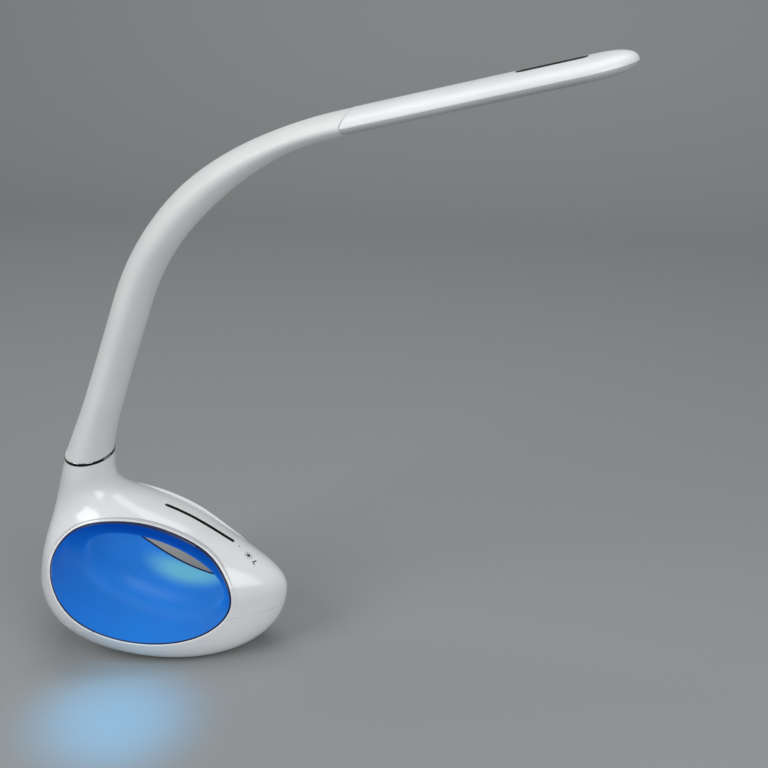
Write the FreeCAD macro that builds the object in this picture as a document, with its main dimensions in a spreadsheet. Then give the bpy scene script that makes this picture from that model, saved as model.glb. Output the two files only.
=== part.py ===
import FreeCAD, Part, Sketcher
import math
import os
from FreeCAD import Placement, Rotation, Vector

# Desk lamp with a hollow glowing base, a flexible arm and a slim LED head, in millimetres.
# The origin lies on the desk under the base. +X runs from the neck to the nose of the base and out to the
# head, +Y runs through the tunnel of the base, and +Z is up. The lamp is symmetric about the plane y = 0.

doc = FreeCAD.newDocument("desk_lamp")

SIZES = [
    # Hull of the base
    ("nose_reach", 105.0, "foremost point of the base, from the origin"),
    ("nose_height", 46.6, "height of the foremost point"),
    ("rear_reach", 71.5, "rearmost point of the base, from the origin"),
    ("rear_height", 55.7, "height of the rearmost point"),
    ("side_reach", 58.9, "half of the base's width"),
    ("side_height", 49.9, "height of the widest section"),
    ("sole_front", 62.5, "front end of the flat sole"),
    ("sole_rear", 14.3, "rear end of the flat sole"),
    ("sole_half_width", 28.1, "half of the flat sole's width"),
    ("egg_share", 0.544, "how much broader the rear of a section is than its front"),
    ("neck_back", 34.0, "centre of the neck, behind the origin"),
    ("neck_half_length", 16.2, "half of the neck's oval along X"),
    ("neck_half_width", 22.9, "half of the neck's oval along Y"),
    ("neck_top", 139.9, "height of the neck's rim"),
    ("sole_lift", 1.2, "gap between the sole and the desk"),
    ("shell_wall", 2.5, "wall of both shells"),
    ("seam_height", 34.1, "parting plane of the two shells"),
    # Tunnel through the base
    ("window_ahead", 11.5, "centre of the window, ahead of the origin"),
    ("window_height", 62.1, "height of the window's centre"),
    ("window_half_length", 63.2, "long half axis of the window"),
    ("window_half_height", 36.8, "short half axis of the window"),
    ("window_tilt", 19.1, "nose-down tilt of the window, degrees"),
    ("waist_ahead", 7.2, "centre of the tunnel's waist, ahead of the origin"),
    ("waist_height", 48.7, "height of the waist's centre"),
    ("waist_half_length", 53.2, "long half axis of the waist"),
    ("waist_half_height", 26.4, "short half axis of the waist"),
    ("waist_tilt", 17.0, "nose-down tilt of the waist, degrees"),
    ("waist_depth", 22.0, "distance from the middle at which the tunnel has its full size"),
    ("liner_wall", 2.2, "wall of the tunnel's liner"),
    ("liner_gap", 0.2, "clearance of the liner in the shells"),
    ("liner_sink", 0.4, "how deep the liner's rim lies under the shell's surface"),
    ("strip_clear", 0.41, "clearance between the liner and the edges of the LED strip"),
    ("strip_thick", 0.8, "thickness of the LED strip"),
    ("strip_width", 8.0, "width of the LED strip"),
    ("glow_led_length", 4.0, "length of a colour LED"),
    ("glow_led_height", 1.4, "height of a colour LED"),
    # Neck ring, socket and nut
    ("ring_height", 2.6, "height of the neck ring"),
    ("ring_proud", 0.3, "how far the ring stands out from the neck"),
    ("ring_wall", 4.0, "width of the ring's top face"),
    ("socket_radius", 7.0, "outside of the arm's socket"),
    ("socket_length", 34.0, "length of the socket"),
    ("socket_flange_radius", 10.0, "flange of the socket"),
    ("flange_thick", 3.0, "thickness of the flange"),
    ("web_thick", 4.0, "web in the neck that the socket is clamped to"),
    ("web_front", 24.0, "reach of the web from the socket's axis towards the nose"),
    ("web_depth", 24.0, "depth of the web's top under the neck's rim, along the arm"),
    ("nut_radius", 9.6, "corner radius of the socket's nut"),
    ("nut_thick", 5.0, "thickness of the socket's nut"),
    ("thread_gap", 0.05, "radial clearance of the nut on the socket"),
    # Arm
    ("arm_lean", 70.2, "slope of the arm's straight foot, degrees"),
    ("head_slope", 13.9, "slope of the head, degrees"),
    ("upper_turn", 27.5, "turn of the arm's upper bend, degrees"),
    ("straight_run", 120.5, "straight foot of the arm"),
    ("lower_bend_radius", 180.0, "radius of the lower bend"),
    ("upper_bend_radius", 212.0, "radius of the upper bend"),
    ("tail_run", 11.0, "straight end of the arm before the head"),
    ("arm_half_width", 21.8, "half of the arm's width"),
    ("arm_root_half", 16.0, "half of the arm's thickness at the ring"),
    ("arm_mid_half", 11.7, "half of the arm's thickness along its middle"),
    ("arm_tip_half", 7.2, "half of the arm's thickness at the head"),
    ("arm_flare", 18.0, "length over which the arm flares to the ring"),
    ("arm_thin_from", 195.0, "place along the arm where it begins to thin"),
    ("arm_thin_length", 105.0, "length over which the arm thins"),
    ("arm_wall", 3.2, "wall of the sleeve round its side channels"),
    ("arm_rib", 7.5, "half of the solid rib that holds the core"),
    ("core_radius", 4.5, "radius of the flexible core"),
    ("core_bore", 2.5, "radius of the core's bore"),
    ("core_gap", 1.4, "depth of a core's lower end in its sleeve's round end"),
    ("core_clearance", 0.15, "radial clearance of the core in the sleeve and socket"),
    ("wire_radius", 2.2, "radius of the lead in the core"),
    ("lead_proud", 1.5, "how far the lead comes out of the core in the head"),
    ("joint_start", 34.0, "place of the first joint along the arm"),
    ("joint_spacing", 48.4, "distance between joints along the arm"),
    ("joint_gap", 0.35, "gap between two sleeves at a joint"),
    ("joint_margin", 1.0, "how much a joint's round end is larger than the sleeve's half size"),
    # Head
    ("head_length", 173.0, "head, from the seam's middle to the tip"),
    ("head_half_width", 21.8, "half of the head's width"),
    ("head_crown", 8.2, "height of the cover over its edge"),
    ("head_keel", 4.6, "depth of the tray under the cover's edge"),
    ("tray_corner", 7.0, "how far the tray's flat bottom is narrower than its edge, each side"),
    ("tip_bulge", 1.12, "height of the tip's side curve over the head's own height, as a factor"),
    ("edge_drop", 0.65, "how far the cover's edge lies under the arm's axis"),
    ("seam_sag", 5.5, "how far the head's seam reaches back at its sides"),
    ("tip_run", 34.0, "length of the head's rounded tip, from above"),
    ("crown_run", 24.0, "length over which the cover falls to the tip"),
    ("tray_run", 25.0, "length over which the tray rises to the tip"),
    ("cover_wall", 1.6, "wall of the cover and the tray"),
    ("diffuser_start", 14.0, "start of the diffuser, from the seam"),
    ("diffuser_length", 140.0, "length of the diffuser"),
    ("diffuser_half_width", 13.0, "half of the diffuser's width"),
    ("reflector_lap", 0.5, "reflector and LED board, beyond the diffuser's edge"),
    ("reflector_rim", 1.5, "reflector's rim, inside the diffuser's edge"),
    ("diffuser_thick", 1.6, "thickness of the diffuser"),
    ("fit_gap", 0.15, "clearance of an inserted piece in its opening"),
    ("led_board_thick", 1.2, "thickness of the head's LED board"),
    ("led_height", 0.7, "height of a white LED"),
    ("led_length", 3.5, "length of a white LED"),
    ("led_width", 2.8, "width of a white LED"),
    ("led_pitch", 12.0, "spacing of the white LEDs"),
    ("reflector_height", 1.4, "height of the reflector frame"),
    ("head_boss_radius", 2.6, "radius of a screw boss in the head"),
    ("head_screw_radius", 0.75, "radius of a head screw's shank"),
    ("head_screw_head", 1.55, "radius of a head screw's head"),
    ("head_screw_high", 1.1, "height of a head screw's head"),
    ("head_screw_bite", 3.2, "length of a head screw above the cover's edge"),
    ("head_screw_depth", 2.2, "height of the screw's seat over the tray's bottom"),
    ("clamp_length", 12.0, "length of the clamp on the core's end"),
    ("clamp_cover", 0.6, "height of the clamp above the core"),
    ("clamp_gap", 0.3, "gap around the lead in the clamp"),
    ("clamp_half_width", 8.0, "half of the clamp's width"),
    ("slot_start", 101.0, "start of the sensor strip in the cover"),
    ("slot_length", 44.0, "length of the sensor strip"),
    ("slot_width", 8.8, "width of the sensor strip"),
    ("slot_depth", 0.8, "depth of the sensor strip"),
    # Parts inside the base
    ("ballast_ahead", 26.0, "centre of the ballast plate"),
    ("ballast_half_length", 38.0, "half of the ballast plate's length"),
    ("ballast_half_width", 25.5, "half of the ballast plate's width"),
    ("ballast_thick", 8.5, "thickness of the ballast plate"),
    ("board_rear", 50.0, "rear edge of the main board, behind the origin"),
    ("board_length", 34.0, "length of the main board"),
    ("board_half_width", 19.0, "half of the main board's width"),
    ("board_thick", 1.6, "thickness of both circuit boards"),
    ("board_height", 19.0, "height of the main board's underside"),
    ("post_radius", 3.0, "radius of a board's post"),
    ("screw_radius", 1.2, "radius of a small screw's shank"),
    ("screw_head_radius", 2.2, "radius of a small screw's head"),
    ("screw_head_height", 1.4, "height of a small screw's head"),
    ("screw_length", 5.0, "length of a small screw's shank"),
    ("board_screw_length", 4.8, "length of a main board screw's shank"),
    ("screw_slack", 0.05, "play of a screw in its hole, on the radius"),
    ("jack_height", 26.0, "height of the power jack's axis"),
    ("jack_radius", 4.6, "outside of the jack's barrel"),
    ("jack_bore", 3.1, "radius of the jack's bore"),
    ("jack_pin", 1.0, "radius of the jack's pin"),
    ("jack_barrel", 7.0, "length of the jack's barrel"),
    ("jack_body", 10.0, "length of the jack's body"),
    ("jack_inset", 0.6, "how far the jack's mouth lies inside the hull's rearmost line"),
    ("board_screw_inset", 5.0, "distance from a board's edge to its screws"),
    ("ballast_screw_inset", 9.0, "distance from the ballast plate's end to its screw"),
    ("chip_size", 9.0, "side of the driver chip"),
    ("chip_thick", 2.0, "thickness of the driver chip"),
    ("choke_radius", 4.5, "radius of the choke"),
    ("choke_height", 5.5, "height of the choke"),
    ("choke_side", 6.0, "choke, from the middle plane"),
    ("coil_inset", 26.0, "choke and capacitor, from the main board's rear edge"),
    ("capacitor_radius", 3.0, "radius of the capacitor"),
    ("capacitor_height", 7.0, "height of the capacitor"),
    ("capacitor_side", 7.0, "capacitor, from the middle plane"),
    ("foot_chamfer", 0.4, "chamfer of a foot's lower edge"),
    ("foot_radius", 7.0, "radius of a rubber foot"),
    ("foot_thick", 2.4, "thickness of a rubber foot"),
    ("foot_front", 54.0, "front feet, ahead of the origin"),
    ("foot_rear", 12.0, "rear feet, behind the origin"),
    ("foot_side", 17.0, "feet, from the middle plane"),
    ("nose_post", 84.0, "shell screw in the nose, ahead of the origin"),
    ("rear_post", 58.0, "shell screws at the rear, behind the origin"),
    ("rear_post_side", 13.0, "rear shell screws, from the middle plane"),
    ("shell_post_radius", 4.2, "radius of a shell screw's post"),
    ("shell_screw_radius", 1.5, "radius of a shell screw's shank"),
    ("shell_screw_head", 2.8, "radius of a shell screw's head"),
    ("shell_screw_bite", 8.0, "length of the shell screw in the upper post"),
    ("shell_screw_under", 6.0, "distance from the seam down to the underside of the screw's head"),
    ("slider_rear", 18.4, "rear end of the touch strip, ahead of the origin"),
    ("slider_front", 68.1, "front end of the touch strip"),
    ("slider_width", 3.2, "width of the touch strip"),
    ("slider_depth", 1.0, "depth of the touch strip"),
    ("touch_board_length", 54.0, "length of the touch board"),
    ("touch_board_width", 13.0, "width of the touch board"),
    ("touch_board_drop", 7.0, "distance from the touch strip's chord down to the touch board"),
    ("lead_back", 57.0, "lead inside the base, behind the origin"),
    ("lead_side", 8.0, "lead's end on the main board, from the middle plane"),
    ("lead_ahead", 7.0, "lead's end on the main board, ahead of the board's rear edge"),
]

# Outline of the crest and of the widest line, each as (share of the height from the widest point up to the
# neck's rim, share of the reach beyond the neck).
CREST_SHAPE = [(0, 1), (0.18, 0.907), (0.34, 0.707), (0.48, 0.529), (0.60, 0.333), (0.72, 0.079), (0.84, 0),
               (1, 0)]
WIDTH_SHAPE = [(0, 1), (0.20, 0.96), (0.40, 0.729), (0.55, 0.289), (0.70, -0.014), (0.85, -0.019), (1, 0)]
REAR_POWER = 1.268
# How fast the egg shape of a section fades as the sections narrow towards the neck.
EGG_POWER = 2.4
# An inset hull is also lowered by this share of the inset, so that its sloping roof keeps a full wall.
ROOF_SHARE = 0.6
SECTION_POINTS = 18
GLOW_LEDS = 12
JOINT_KINDS = ["pitch", "side", "pitch", "pitch", "side", "pitch"]

sheet = doc.addObject("Spreadsheet::Sheet", "Sizes")
for row, (alias, value, note) in enumerate(SIZES, start=1):
    sheet.set("A%d" % row, alias)
    sheet.set("B%d" % row, str(value))
    sheet.set("C%d" % row, note)
    sheet.setAlias("B%d" % row, alias)
doc.recompute()

parts = []


def size(alias):
    """The number in the sheet's cell of that alias."""
    return float(sheet.get(alias))


def part(obj, label):
    """Registers an object of the document as a sub-part of the lamp."""
    obj.Label = label
    parts.append(obj)
    return obj


def shape_part(shape, label, placement=None):
    """A sub-part whose shape comes from Part's own functions."""
    feature = doc.addObject("Part::Feature", label)
    feature.Shape = shape
    if placement is not None:
        feature.Placement = placement
    return part(feature, label)


def bind(obj, **cells):
    """Binds an object's properties to expressions on the sheet; __ stands for the dot of a path."""
    for name, expression in cells.items():
        obj.setExpression(name.replace("__", "."), expression)
    return obj


def spline(points):
    """Natural cubic curve through (place, value) points, flat at both ends, as a function of place."""
    place = [p for p, _ in points]
    value = [v for _, v in points]
    last = len(points) - 1
    lower = [0.0] * (last + 1)
    middle = [2.0] * (last + 1)
    upper = [0.0] * (last + 1)
    right = [0.0] * (last + 1)
    for i in range(1, last):
        before = place[i] - place[i - 1]
        after = place[i + 1] - place[i]
        lower[i] = before / (before + after)
        upper[i] = after / (before + after)
        rise = (value[i + 1] - value[i]) / after - (value[i] - value[i - 1]) / before
        right[i] = 6 * rise / (before + after)
    upper[0] = 1.0
    right[0] = 6 * (value[1] - value[0]) / (place[1] - place[0]) ** 2
    lower[last] = 1.0
    right[last] = -6 * (value[last] - value[last - 1]) / (place[last] - place[last - 1]) ** 2
    for i in range(1, last + 1):
        factor = lower[i] / middle[i - 1]
        middle[i] -= factor * upper[i - 1]
        right[i] -= factor * right[i - 1]
    bend = [0.0] * (last + 1)
    bend[last] = right[last] / middle[last]
    for i in range(last - 1, -1, -1):
        bend[i] = (right[i] - upper[i] * bend[i + 1]) / middle[i]

    def curve(at):
        at = min(max(at, place[0]), place[last])
        i = max(k for k in range(last) if place[k] <= at)
        span = place[i + 1] - place[i]
        a = (place[i + 1] - at) / span
        b = (at - place[i]) / span
        return (a * value[i] + b * value[i + 1]
                + ((a ** 3 - a) * bend[i] + (b ** 3 - b) * bend[i + 1]) * span ** 2 / 6)

    return curve


def cut_all(shape, tools):
    """The shape with every tool cut from it."""
    for tool in tools:
        shape = shape.cut(tool)
    return shape


crest_share = spline(CREST_SHAPE)
width_share = spline(WIDTH_SHAPE)


# ---------------------------------------------------------------- hull of the base

def bowl(height, rim_height, floor, flat, reach):
    """Reach of the hull's lower bowl at a height: a quarter ellipse from the flat sole to the rim."""
    fall = min((rim_height - height) / (rim_height - floor), 1.0)
    return flat + (reach - flat) * math.sqrt(1 - fall ** 2)


def hull_limits(height, inset, floor):
    """Rear, front and half width of the hull's section at a height, drawn in by inset."""
    height = height + ROOF_SHARE * inset
    floor = floor + ROOF_SHARE * inset
    top = size("neck_top")
    neck_front = size("neck_half_length") - size("neck_back")
    nose = size("nose_height")
    if height >= nose:
        share = crest_share((height - nose) / (top - nose))
        front = neck_front + (size("nose_reach") - neck_front) * share - inset
    else:
        front = bowl(height, nose, floor, size("sole_front"), size("nose_reach") - inset)
    neck_rear = -size("neck_half_length") - size("neck_back")
    tail = size("rear_height")
    if height >= tail:
        climb = min((height - tail) / (top - tail), 1.0)
        rear = -size("rear_reach") + (neck_rear + size("rear_reach")) * climb ** REAR_POWER + inset
    else:
        rear = -bowl(height, tail, floor, size("sole_rear"), size("rear_reach") - inset)
    wide = size("side_height")
    if height >= wide:
        share = width_share((height - wide) / (top - wide))
        half = size("neck_half_width") + (size("side_reach") - size("neck_half_width")) * share - inset
    else:
        half = bowl(height, wide, floor, size("sole_half_width"), size("side_reach") - inset)
    return rear, front, half


def hull_section(height, inset, floor):
    """Closed egg-shaped section of the hull at a height."""
    rear, front, half = hull_limits(height, inset, floor)
    fullness = (half + inset - size("neck_half_width")) / (size("side_reach") - size("neck_half_width"))
    egg = size("egg_share") * min(max(fullness, 0.0), 1.0) ** EGG_POWER
    points = []
    for i in range(SECTION_POINTS):
        turn = 2 * math.pi * i / SECTION_POINTS
        x = (rear + front) / 2 + (front - rear) / 2 * math.cos(turn)
        y = half * math.sin(turn) * (1 - egg * math.cos(turn))
        points.append(Vector(x, y, height))
    curve = Part.BSplineCurve()
    curve.interpolate(Points=points, PeriodicFlag=True, Parameters=range(SECTION_POINTS + 1))
    return Part.Wire([curve.toShape()])


def hull(inset, floor, bottom, top):
    """Solid of the hull between two heights, with its surface drawn in by inset."""
    nose = size("nose_height")
    steps = 8
    heights = []
    for i in range(steps):
        turn = math.pi / 2 * i / steps
        heights.append(bottom + (nose - bottom) * (1 - math.cos(turn)))
    rise = 13
    for i in range(rise + 1):
        heights.append(nose + (top - nose) * i / rise)
    return Part.makeLoft([hull_section(z, inset, floor) for z in heights], True, False)


def slab(low, high):
    """Wide horizontal block between two heights."""
    reach = 2 * (size("nose_reach") + size("rear_reach"))
    return Part.makeBox(reach, reach, high - low, Vector(-reach / 2, -reach / 2, low))


lift = size("sole_lift")
wall = size("shell_wall")
seam = size("seam_height")
neck_top = size("neck_top")
hull_outside = hull(0.0, 0.0, lift, neck_top)
hull_inside = hull(wall, lift + wall - 0.01, lift + wall, neck_top)


# ---------------------------------------------------------------- tunnel through the base

def oval(ahead, height, half_length, half_height, tilt, depth):
    """Closed oval in a plane of constant y, tilted nose-down."""
    curve = Part.Ellipse(Vector(0, 0, 0), half_length, half_height)
    wire = Part.Wire([curve.toShape()])
    turn = Rotation(Vector(0, 1, 0), tilt) * Rotation(Vector(1, 0, 0), 90)
    wire.Placement = Placement(Vector(ahead, depth, height), turn)
    return wire


def waist_share(depth):
    """How much of the waist is left at a depth from the middle: 1 there, 0 where the tunnel has its full size."""
    return math.cos(math.pi / 2 * min(abs(depth) / size("waist_depth"), 1.0)) ** 2


def tunnel_oval(depth, grow):
    """Section of the tunnel at a depth from the middle, grown by a wall."""
    pinch = waist_share(depth)

    def mix(window, waist):
        return size(window) + (size(waist) - size(window)) * pinch

    return oval(mix("window_ahead", "waist_ahead"), mix("window_height", "waist_height"),
                mix("window_half_length", "waist_half_length") + grow,
                mix("window_half_height", "waist_half_height") + grow,
                mix("window_tilt", "waist_tilt"), depth)


def tunnel(grow):
    """Solid that fills the tunnel and runs out of both sides of the base."""
    step = size("waist_depth") / 3
    count = int(math.ceil((size("side_reach") + 10) / step))
    return Part.makeLoft([tunnel_oval(step * i, grow) for i in range(-count, count + 1)], True, False)


tunnel_space = tunnel(0.0)
liner_outside = tunnel(size("liner_wall"))
liner_cut = tunnel(size("liner_wall") + size("liner_gap"))
liner_limit = hull(size("liner_sink"), lift / 2, lift, neck_top)


# ---------------------------------------------------------------- path of the arm

lower_turn = math.radians(size("arm_lean") - size("head_slope") - size("upper_turn"))
upper_turn = math.radians(size("upper_turn"))
lean = math.radians(size("arm_lean"))
slope = math.radians(size("head_slope"))
lower_start = size("straight_run")
upper_start = lower_start + size("lower_bend_radius") * lower_turn
tail_start = upper_start + size("upper_bend_radius") * upper_turn
arm_length = tail_start + size("tail_run")
arm_foot = (-size("neck_back"), neck_top + size("ring_height"))


def along(point, angle, length):
    """The point reached by a straight run at an angle in the plane y = 0."""
    return (point[0] + length * math.cos(angle), point[1] + length * math.sin(angle))


def bend(point, angle, radius, length):
    """The point reached along an arc that turns the nose down."""
    turned = angle - length / radius
    return (point[0] + radius * (math.sin(angle) - math.sin(turned)),
            point[1] + radius * (math.cos(turned) - math.cos(angle)))


def arm_at(place):
    """Point (x, z) of the arm's axis at a place along it, and the slope of the arm there."""
    if place <= lower_start:
        return along(arm_foot, lean, place), lean
    lower_foot = along(arm_foot, lean, lower_start)
    if place <= upper_start:
        run = place - lower_start
        return bend(lower_foot, lean, size("lower_bend_radius"), run), lean - run / size("lower_bend_radius")
    upper_foot = bend(lower_foot, lean, size("lower_bend_radius"), upper_start - lower_start)
    middle = lean - lower_turn
    if place <= tail_start:
        run = place - upper_start
        heading = middle - run / size("upper_bend_radius")
        return bend(upper_foot, middle, size("upper_bend_radius"), run), heading
    tail_foot = bend(upper_foot, middle, size("upper_bend_radius"), tail_start - upper_start)
    return along(tail_foot, slope, place - tail_start), slope


def arm_frame(place, angle=None):
    """Placement on the arm's axis: local X runs along the arm and local Z is the arm's upper side."""
    (x, z), heading = arm_at(place)
    if angle is not None:
        heading = angle
    return Placement(Vector(x, 0, z), Rotation(Vector(0, 1, 0), -math.degrees(heading)))


def ease(share):
    """Smooth step from 0 to 1."""
    share = min(max(share, 0.0), 1.0)
    return share * share * (3 - 2 * share)


def arm_half_thick(place):
    """Half of the arm's thickness in the plane y = 0."""
    flare = (size("arm_root_half") - size("arm_mid_half")) * math.exp(-max(place, 0) / size("arm_flare"))
    thin = ease((place - size("arm_thin_from")) / size("arm_thin_length"))
    return size("arm_mid_half") + flare + (size("arm_tip_half") - size("arm_mid_half")) * thin


def arm_half_wide(place):
    """Half of the arm's width along Y."""
    flare = size("neck_half_width") - size("arm_half_width")
    return size("arm_half_width") + flare * math.exp(-max(place, 0) / size("arm_flare"))


def cross_oval(frame, half_wide, half_thick, side=0.0):
    """Closed oval across the arm, its centre moved sideways by side."""
    long_way = half_wide >= half_thick
    curve = Part.Ellipse(Vector(0, 0, 0), max(half_wide, half_thick), min(half_wide, half_thick))
    wire = Part.Wire([curve.toShape()])
    spin = 90 if long_way else 0
    turn = Rotation(Vector(0, 1, 0), 90) * Rotation(Vector(0, 0, 1), spin)
    wire.Placement = frame * Placement(Vector(0, side, 0), turn)
    return wire


def arm_heading(place):
    """Slope of a section's normal: upright at the ring, along the arm one flare further on."""
    _, heading = arm_at(place)
    upright = 1 - ease(place / (1.4 * size("arm_flare")))
    return heading + (math.pi / 2 - heading) * upright


def arm_loft(first, last, half_wide, half_thick, side=None, from_ring=False):
    """Solid along the arm between two places, from functions of place for its half sizes."""
    count = max(2, int(math.ceil((last - first) / 8.0)))
    wires = []
    for i in range(count + 1):
        place = first + (last - first) * i / count
        angle = arm_heading(place) if from_ring else None
        offset = side(place) if side else 0.0
        wires.append(cross_oval(arm_frame(place, angle), half_wide(place), half_thick(place), offset))
    return Part.makeLoft(wires, True, False)


joint_places = [size("joint_start") + size("joint_spacing") * i for i in range(len(JOINT_KINDS))]


def joint_radius(number):
    """Radius of the round end that turns in a joint."""
    place = joint_places[number]
    reach = arm_half_thick(place) if JOINT_KINDS[number] == "pitch" else arm_half_wide(place)
    return reach + size("joint_margin")


def joint_round(number, grow):
    """Cylinder about a joint's hinge line."""
    frame = arm_frame(joint_places[number])
    length = 4 * size("neck_half_width")
    radius = joint_radius(number) + grow
    if JOINT_KINDS[number] == "pitch":
        return Part.makeCylinder(radius, length, frame.Base - Vector(0, length / 2, 0), Vector(0, 1, 0))
    across = frame.Rotation.multVec(Vector(0, 0, 1))
    return Part.makeCylinder(radius, length, frame.Base - across * length / 2, across)


def beyond(number):
    """Block that fills the space beyond a joint's plane, on the side of the head."""
    reach = 4 * size("joint_spacing")
    block = Part.makeBox(reach, reach, reach, Vector(0, -reach / 2, -reach / 2))
    block.Placement = arm_frame(joint_places[number])
    return block


seam_radius = (size("head_half_width") ** 2 + size("seam_sag") ** 2) / (2 * size("seam_sag"))


def seam_round():
    """Upright cylinder whose front is the curved seam between the arm and the head."""
    frame = arm_frame(arm_length)
    across = frame.Rotation.multVec(Vector(0, 0, 1))
    back = frame.Rotation.multVec(Vector(-seam_radius, 0, 0))
    length = 4 * size("neck_half_width")
    return Part.makeCylinder(seam_radius, length, frame.Base + back - across * length / 2, across)


def even(radius):
    """A radius that is the same at every place."""
    return lambda place: radius


def channel_side(sign):
    """Place of a side channel's centre, as a function of place along the arm."""
    return lambda place: sign * (arm_half_wide(place) - size("arm_wall") + size("arm_rib")) / 2


def channel_half(place):
    """Half of a side channel's width."""
    return (arm_half_wide(place) - size("arm_wall") - size("arm_rib")) / 2


def sleeve(number):
    """One stretch of the soft sleeve: a round end at its lower joint and a hollow end at its upper one."""
    first_link = number == 0
    last_link = number == len(joint_places)
    start = 0.0 if first_link else joint_places[number - 1] - joint_radius(number - 1) - 1
    stop = arm_length if last_link else joint_places[number] + 1
    body = arm_loft(start, stop, arm_half_wide, arm_half_thick, from_ring=True)
    past = size("arm_root_half") / 2
    for sign in (-1, 1):
        body = body.cut(arm_loft(start - past, stop + 1, channel_half,
                                 lambda place: arm_half_thick(place) - size("arm_wall"), channel_side(sign)))
    bore = size("core_radius") + size("core_clearance")
    body = body.cut(arm_loft(start - past, stop + 1, even(bore), even(bore)))
    if not first_link:
        body = body.common(beyond(number - 1).fuse(joint_round(number - 1, 0.0)))
    if last_link:
        body = body.common(seam_round())
    else:
        body = body.cut(beyond(number)).cut(joint_round(number, size("joint_gap")))
    return body.removeSplitter()


def core_ends(number, gap, lower_end, upper_end):
    """First and last place of a core or lead: from inside one round end to just before the next."""
    first = lower_end
    last = upper_end
    if number > 0:
        first = joint_places[number - 1] - joint_radius(number - 1) + gap
    if number < len(joint_places):
        last = joint_places[number] - joint_radius(number) - size("joint_gap") - gap / 2
    return first, last


socket_top = 0.0
socket_bottom = socket_top - size("socket_length")
core_foot = socket_bottom + 4
lead_foot = socket_bottom - 4
core_tip = arm_length + size("clamp_length") - 1
for number in range(len(joint_places) + 1):
    name = number + 1
    shape_part(sleeve(number), "arm_sleeve_%d" % name)
    first, last = core_ends(number, size("core_gap"), core_foot, core_tip)
    tube = arm_loft(first, last, even(size("core_radius")), even(size("core_radius")))
    tube = tube.cut(arm_loft(first - 1, last + 1, even(size("core_bore")), even(size("core_bore"))))
    shape_part(tube, "gooseneck_core_%d" % name)
    first, last = core_ends(number, size("core_gap"), lead_foot, core_tip + size("lead_proud"))
    wire = even(size("wire_radius"))
    shape_part(arm_loft(first, last, wire, wire), "lamp_lead_%d" % name)


# ---------------------------------------------------------------- neck ring, socket and nut

def neck_oval(grow, height):
    """Oval of the neck's rim, grown by a wall."""
    wire = Part.Wire([Part.Ellipse(Vector(0, 0, 0), size("neck_half_width") + grow,
                                   size("neck_half_length") + grow).toShape()])
    wire.Placement = Placement(Vector(-size("neck_back"), 0, height), Rotation(Vector(0, 0, 1), 90))
    return wire


ring_outline = neck_oval(size("ring_proud"), neck_top)
ring_hole = neck_oval(-size("ring_wall"), neck_top)
ring_up = Vector(0, 0, size("ring_height"))
neck_ring = Part.Face(ring_outline).extrude(ring_up).cut(Part.Face(ring_hole).extrude(ring_up))
neck_ring = neck_ring.makeFillet(0.8, [e for e in neck_ring.Edges
                                       if e.BoundBox.XLength > 2 * size("neck_half_length")])
shape_part(neck_ring, "neck_ring")


def arm_cylinder(radius, start, stop):
    """Cylinder on the line of the arm's straight foot, between two places along it."""
    frame = arm_frame(start)
    return Part.makeCylinder(radius, stop - start, frame.Base, frame.Rotation.multVec(Vector(1, 0, 0)))


web_top = -size("web_depth")
web_bottom = web_top - size("web_thick")
flange_top = web_top + size("flange_thick")
socket = arm_cylinder(size("socket_radius"), socket_bottom, socket_top - 3)
socket = socket.fuse(arm_cylinder(size("socket_flange_radius"), web_top, flange_top))
socket = socket.cut(arm_cylinder(size("core_radius") + size("core_clearance"), core_foot, socket_top))
socket = socket.cut(arm_cylinder(size("core_bore"), socket_bottom - 1, core_foot))
shape_part(socket.removeSplitter(), "arm_socket")

nut_frame = arm_frame(web_bottom - size("nut_thick"))
nut_corners = [Vector(0, size("nut_radius") * math.cos(math.radians(60 * i)),
                      size("nut_radius") * math.sin(math.radians(60 * i))) for i in range(7)]
nut = Part.Face(Part.makePolygon(nut_corners)).extrude(Vector(size("nut_thick"), 0, 0))
nut.Placement = nut_frame
nut_bore = size("socket_radius") + size("thread_gap")
nut = nut.cut(arm_cylinder(nut_bore, web_bottom - 2 * size("nut_thick"), web_top))
shape_part(nut, "socket_nut")


# ---------------------------------------------------------------- shells of the base

def post(x, y, low, high, radius):
    """Upright round post."""
    return Part.makeCylinder(radius, high - low, Vector(x, y, low))


shell_posts = [(size("nose_post"), 0.0)]
shell_posts += [(-size("rear_post"), sign * size("rear_post_side")) for sign in (-1, 1)]
web_front = size("web_front")
web = Part.makeBox(size("web_thick"), 4 * size("neck_half_width"), 3 * web_front,
                   Vector(0, -2 * size("neck_half_width"), -web_front))
web.Placement = arm_frame(web_bottom)
web = web.cut(arm_cylinder(size("socket_radius") + size("thread_gap"), web_bottom - 1, web_top + 1))

slider_reach = size("slider_front") - size("slider_rear")


def slider_block(grow):
    """Upright block over the touch strip's place on the crest."""
    side = size("slider_width") / 2 + grow
    return Part.makeBox(slider_reach + 2 * grow, 2 * side, neck_top,
                        Vector(size("slider_rear") - grow, -side, size("rear_height")))


def crest_height(x):
    """Height of the crest over a place ahead of the neck."""
    low, high = size("nose_height"), neck_top
    for _ in range(40):
        middle = (low + high) / 2
        if hull_limits(middle, 0.0, 0.0)[1] > x:
            low = middle
        else:
            high = middle
    return low


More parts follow.
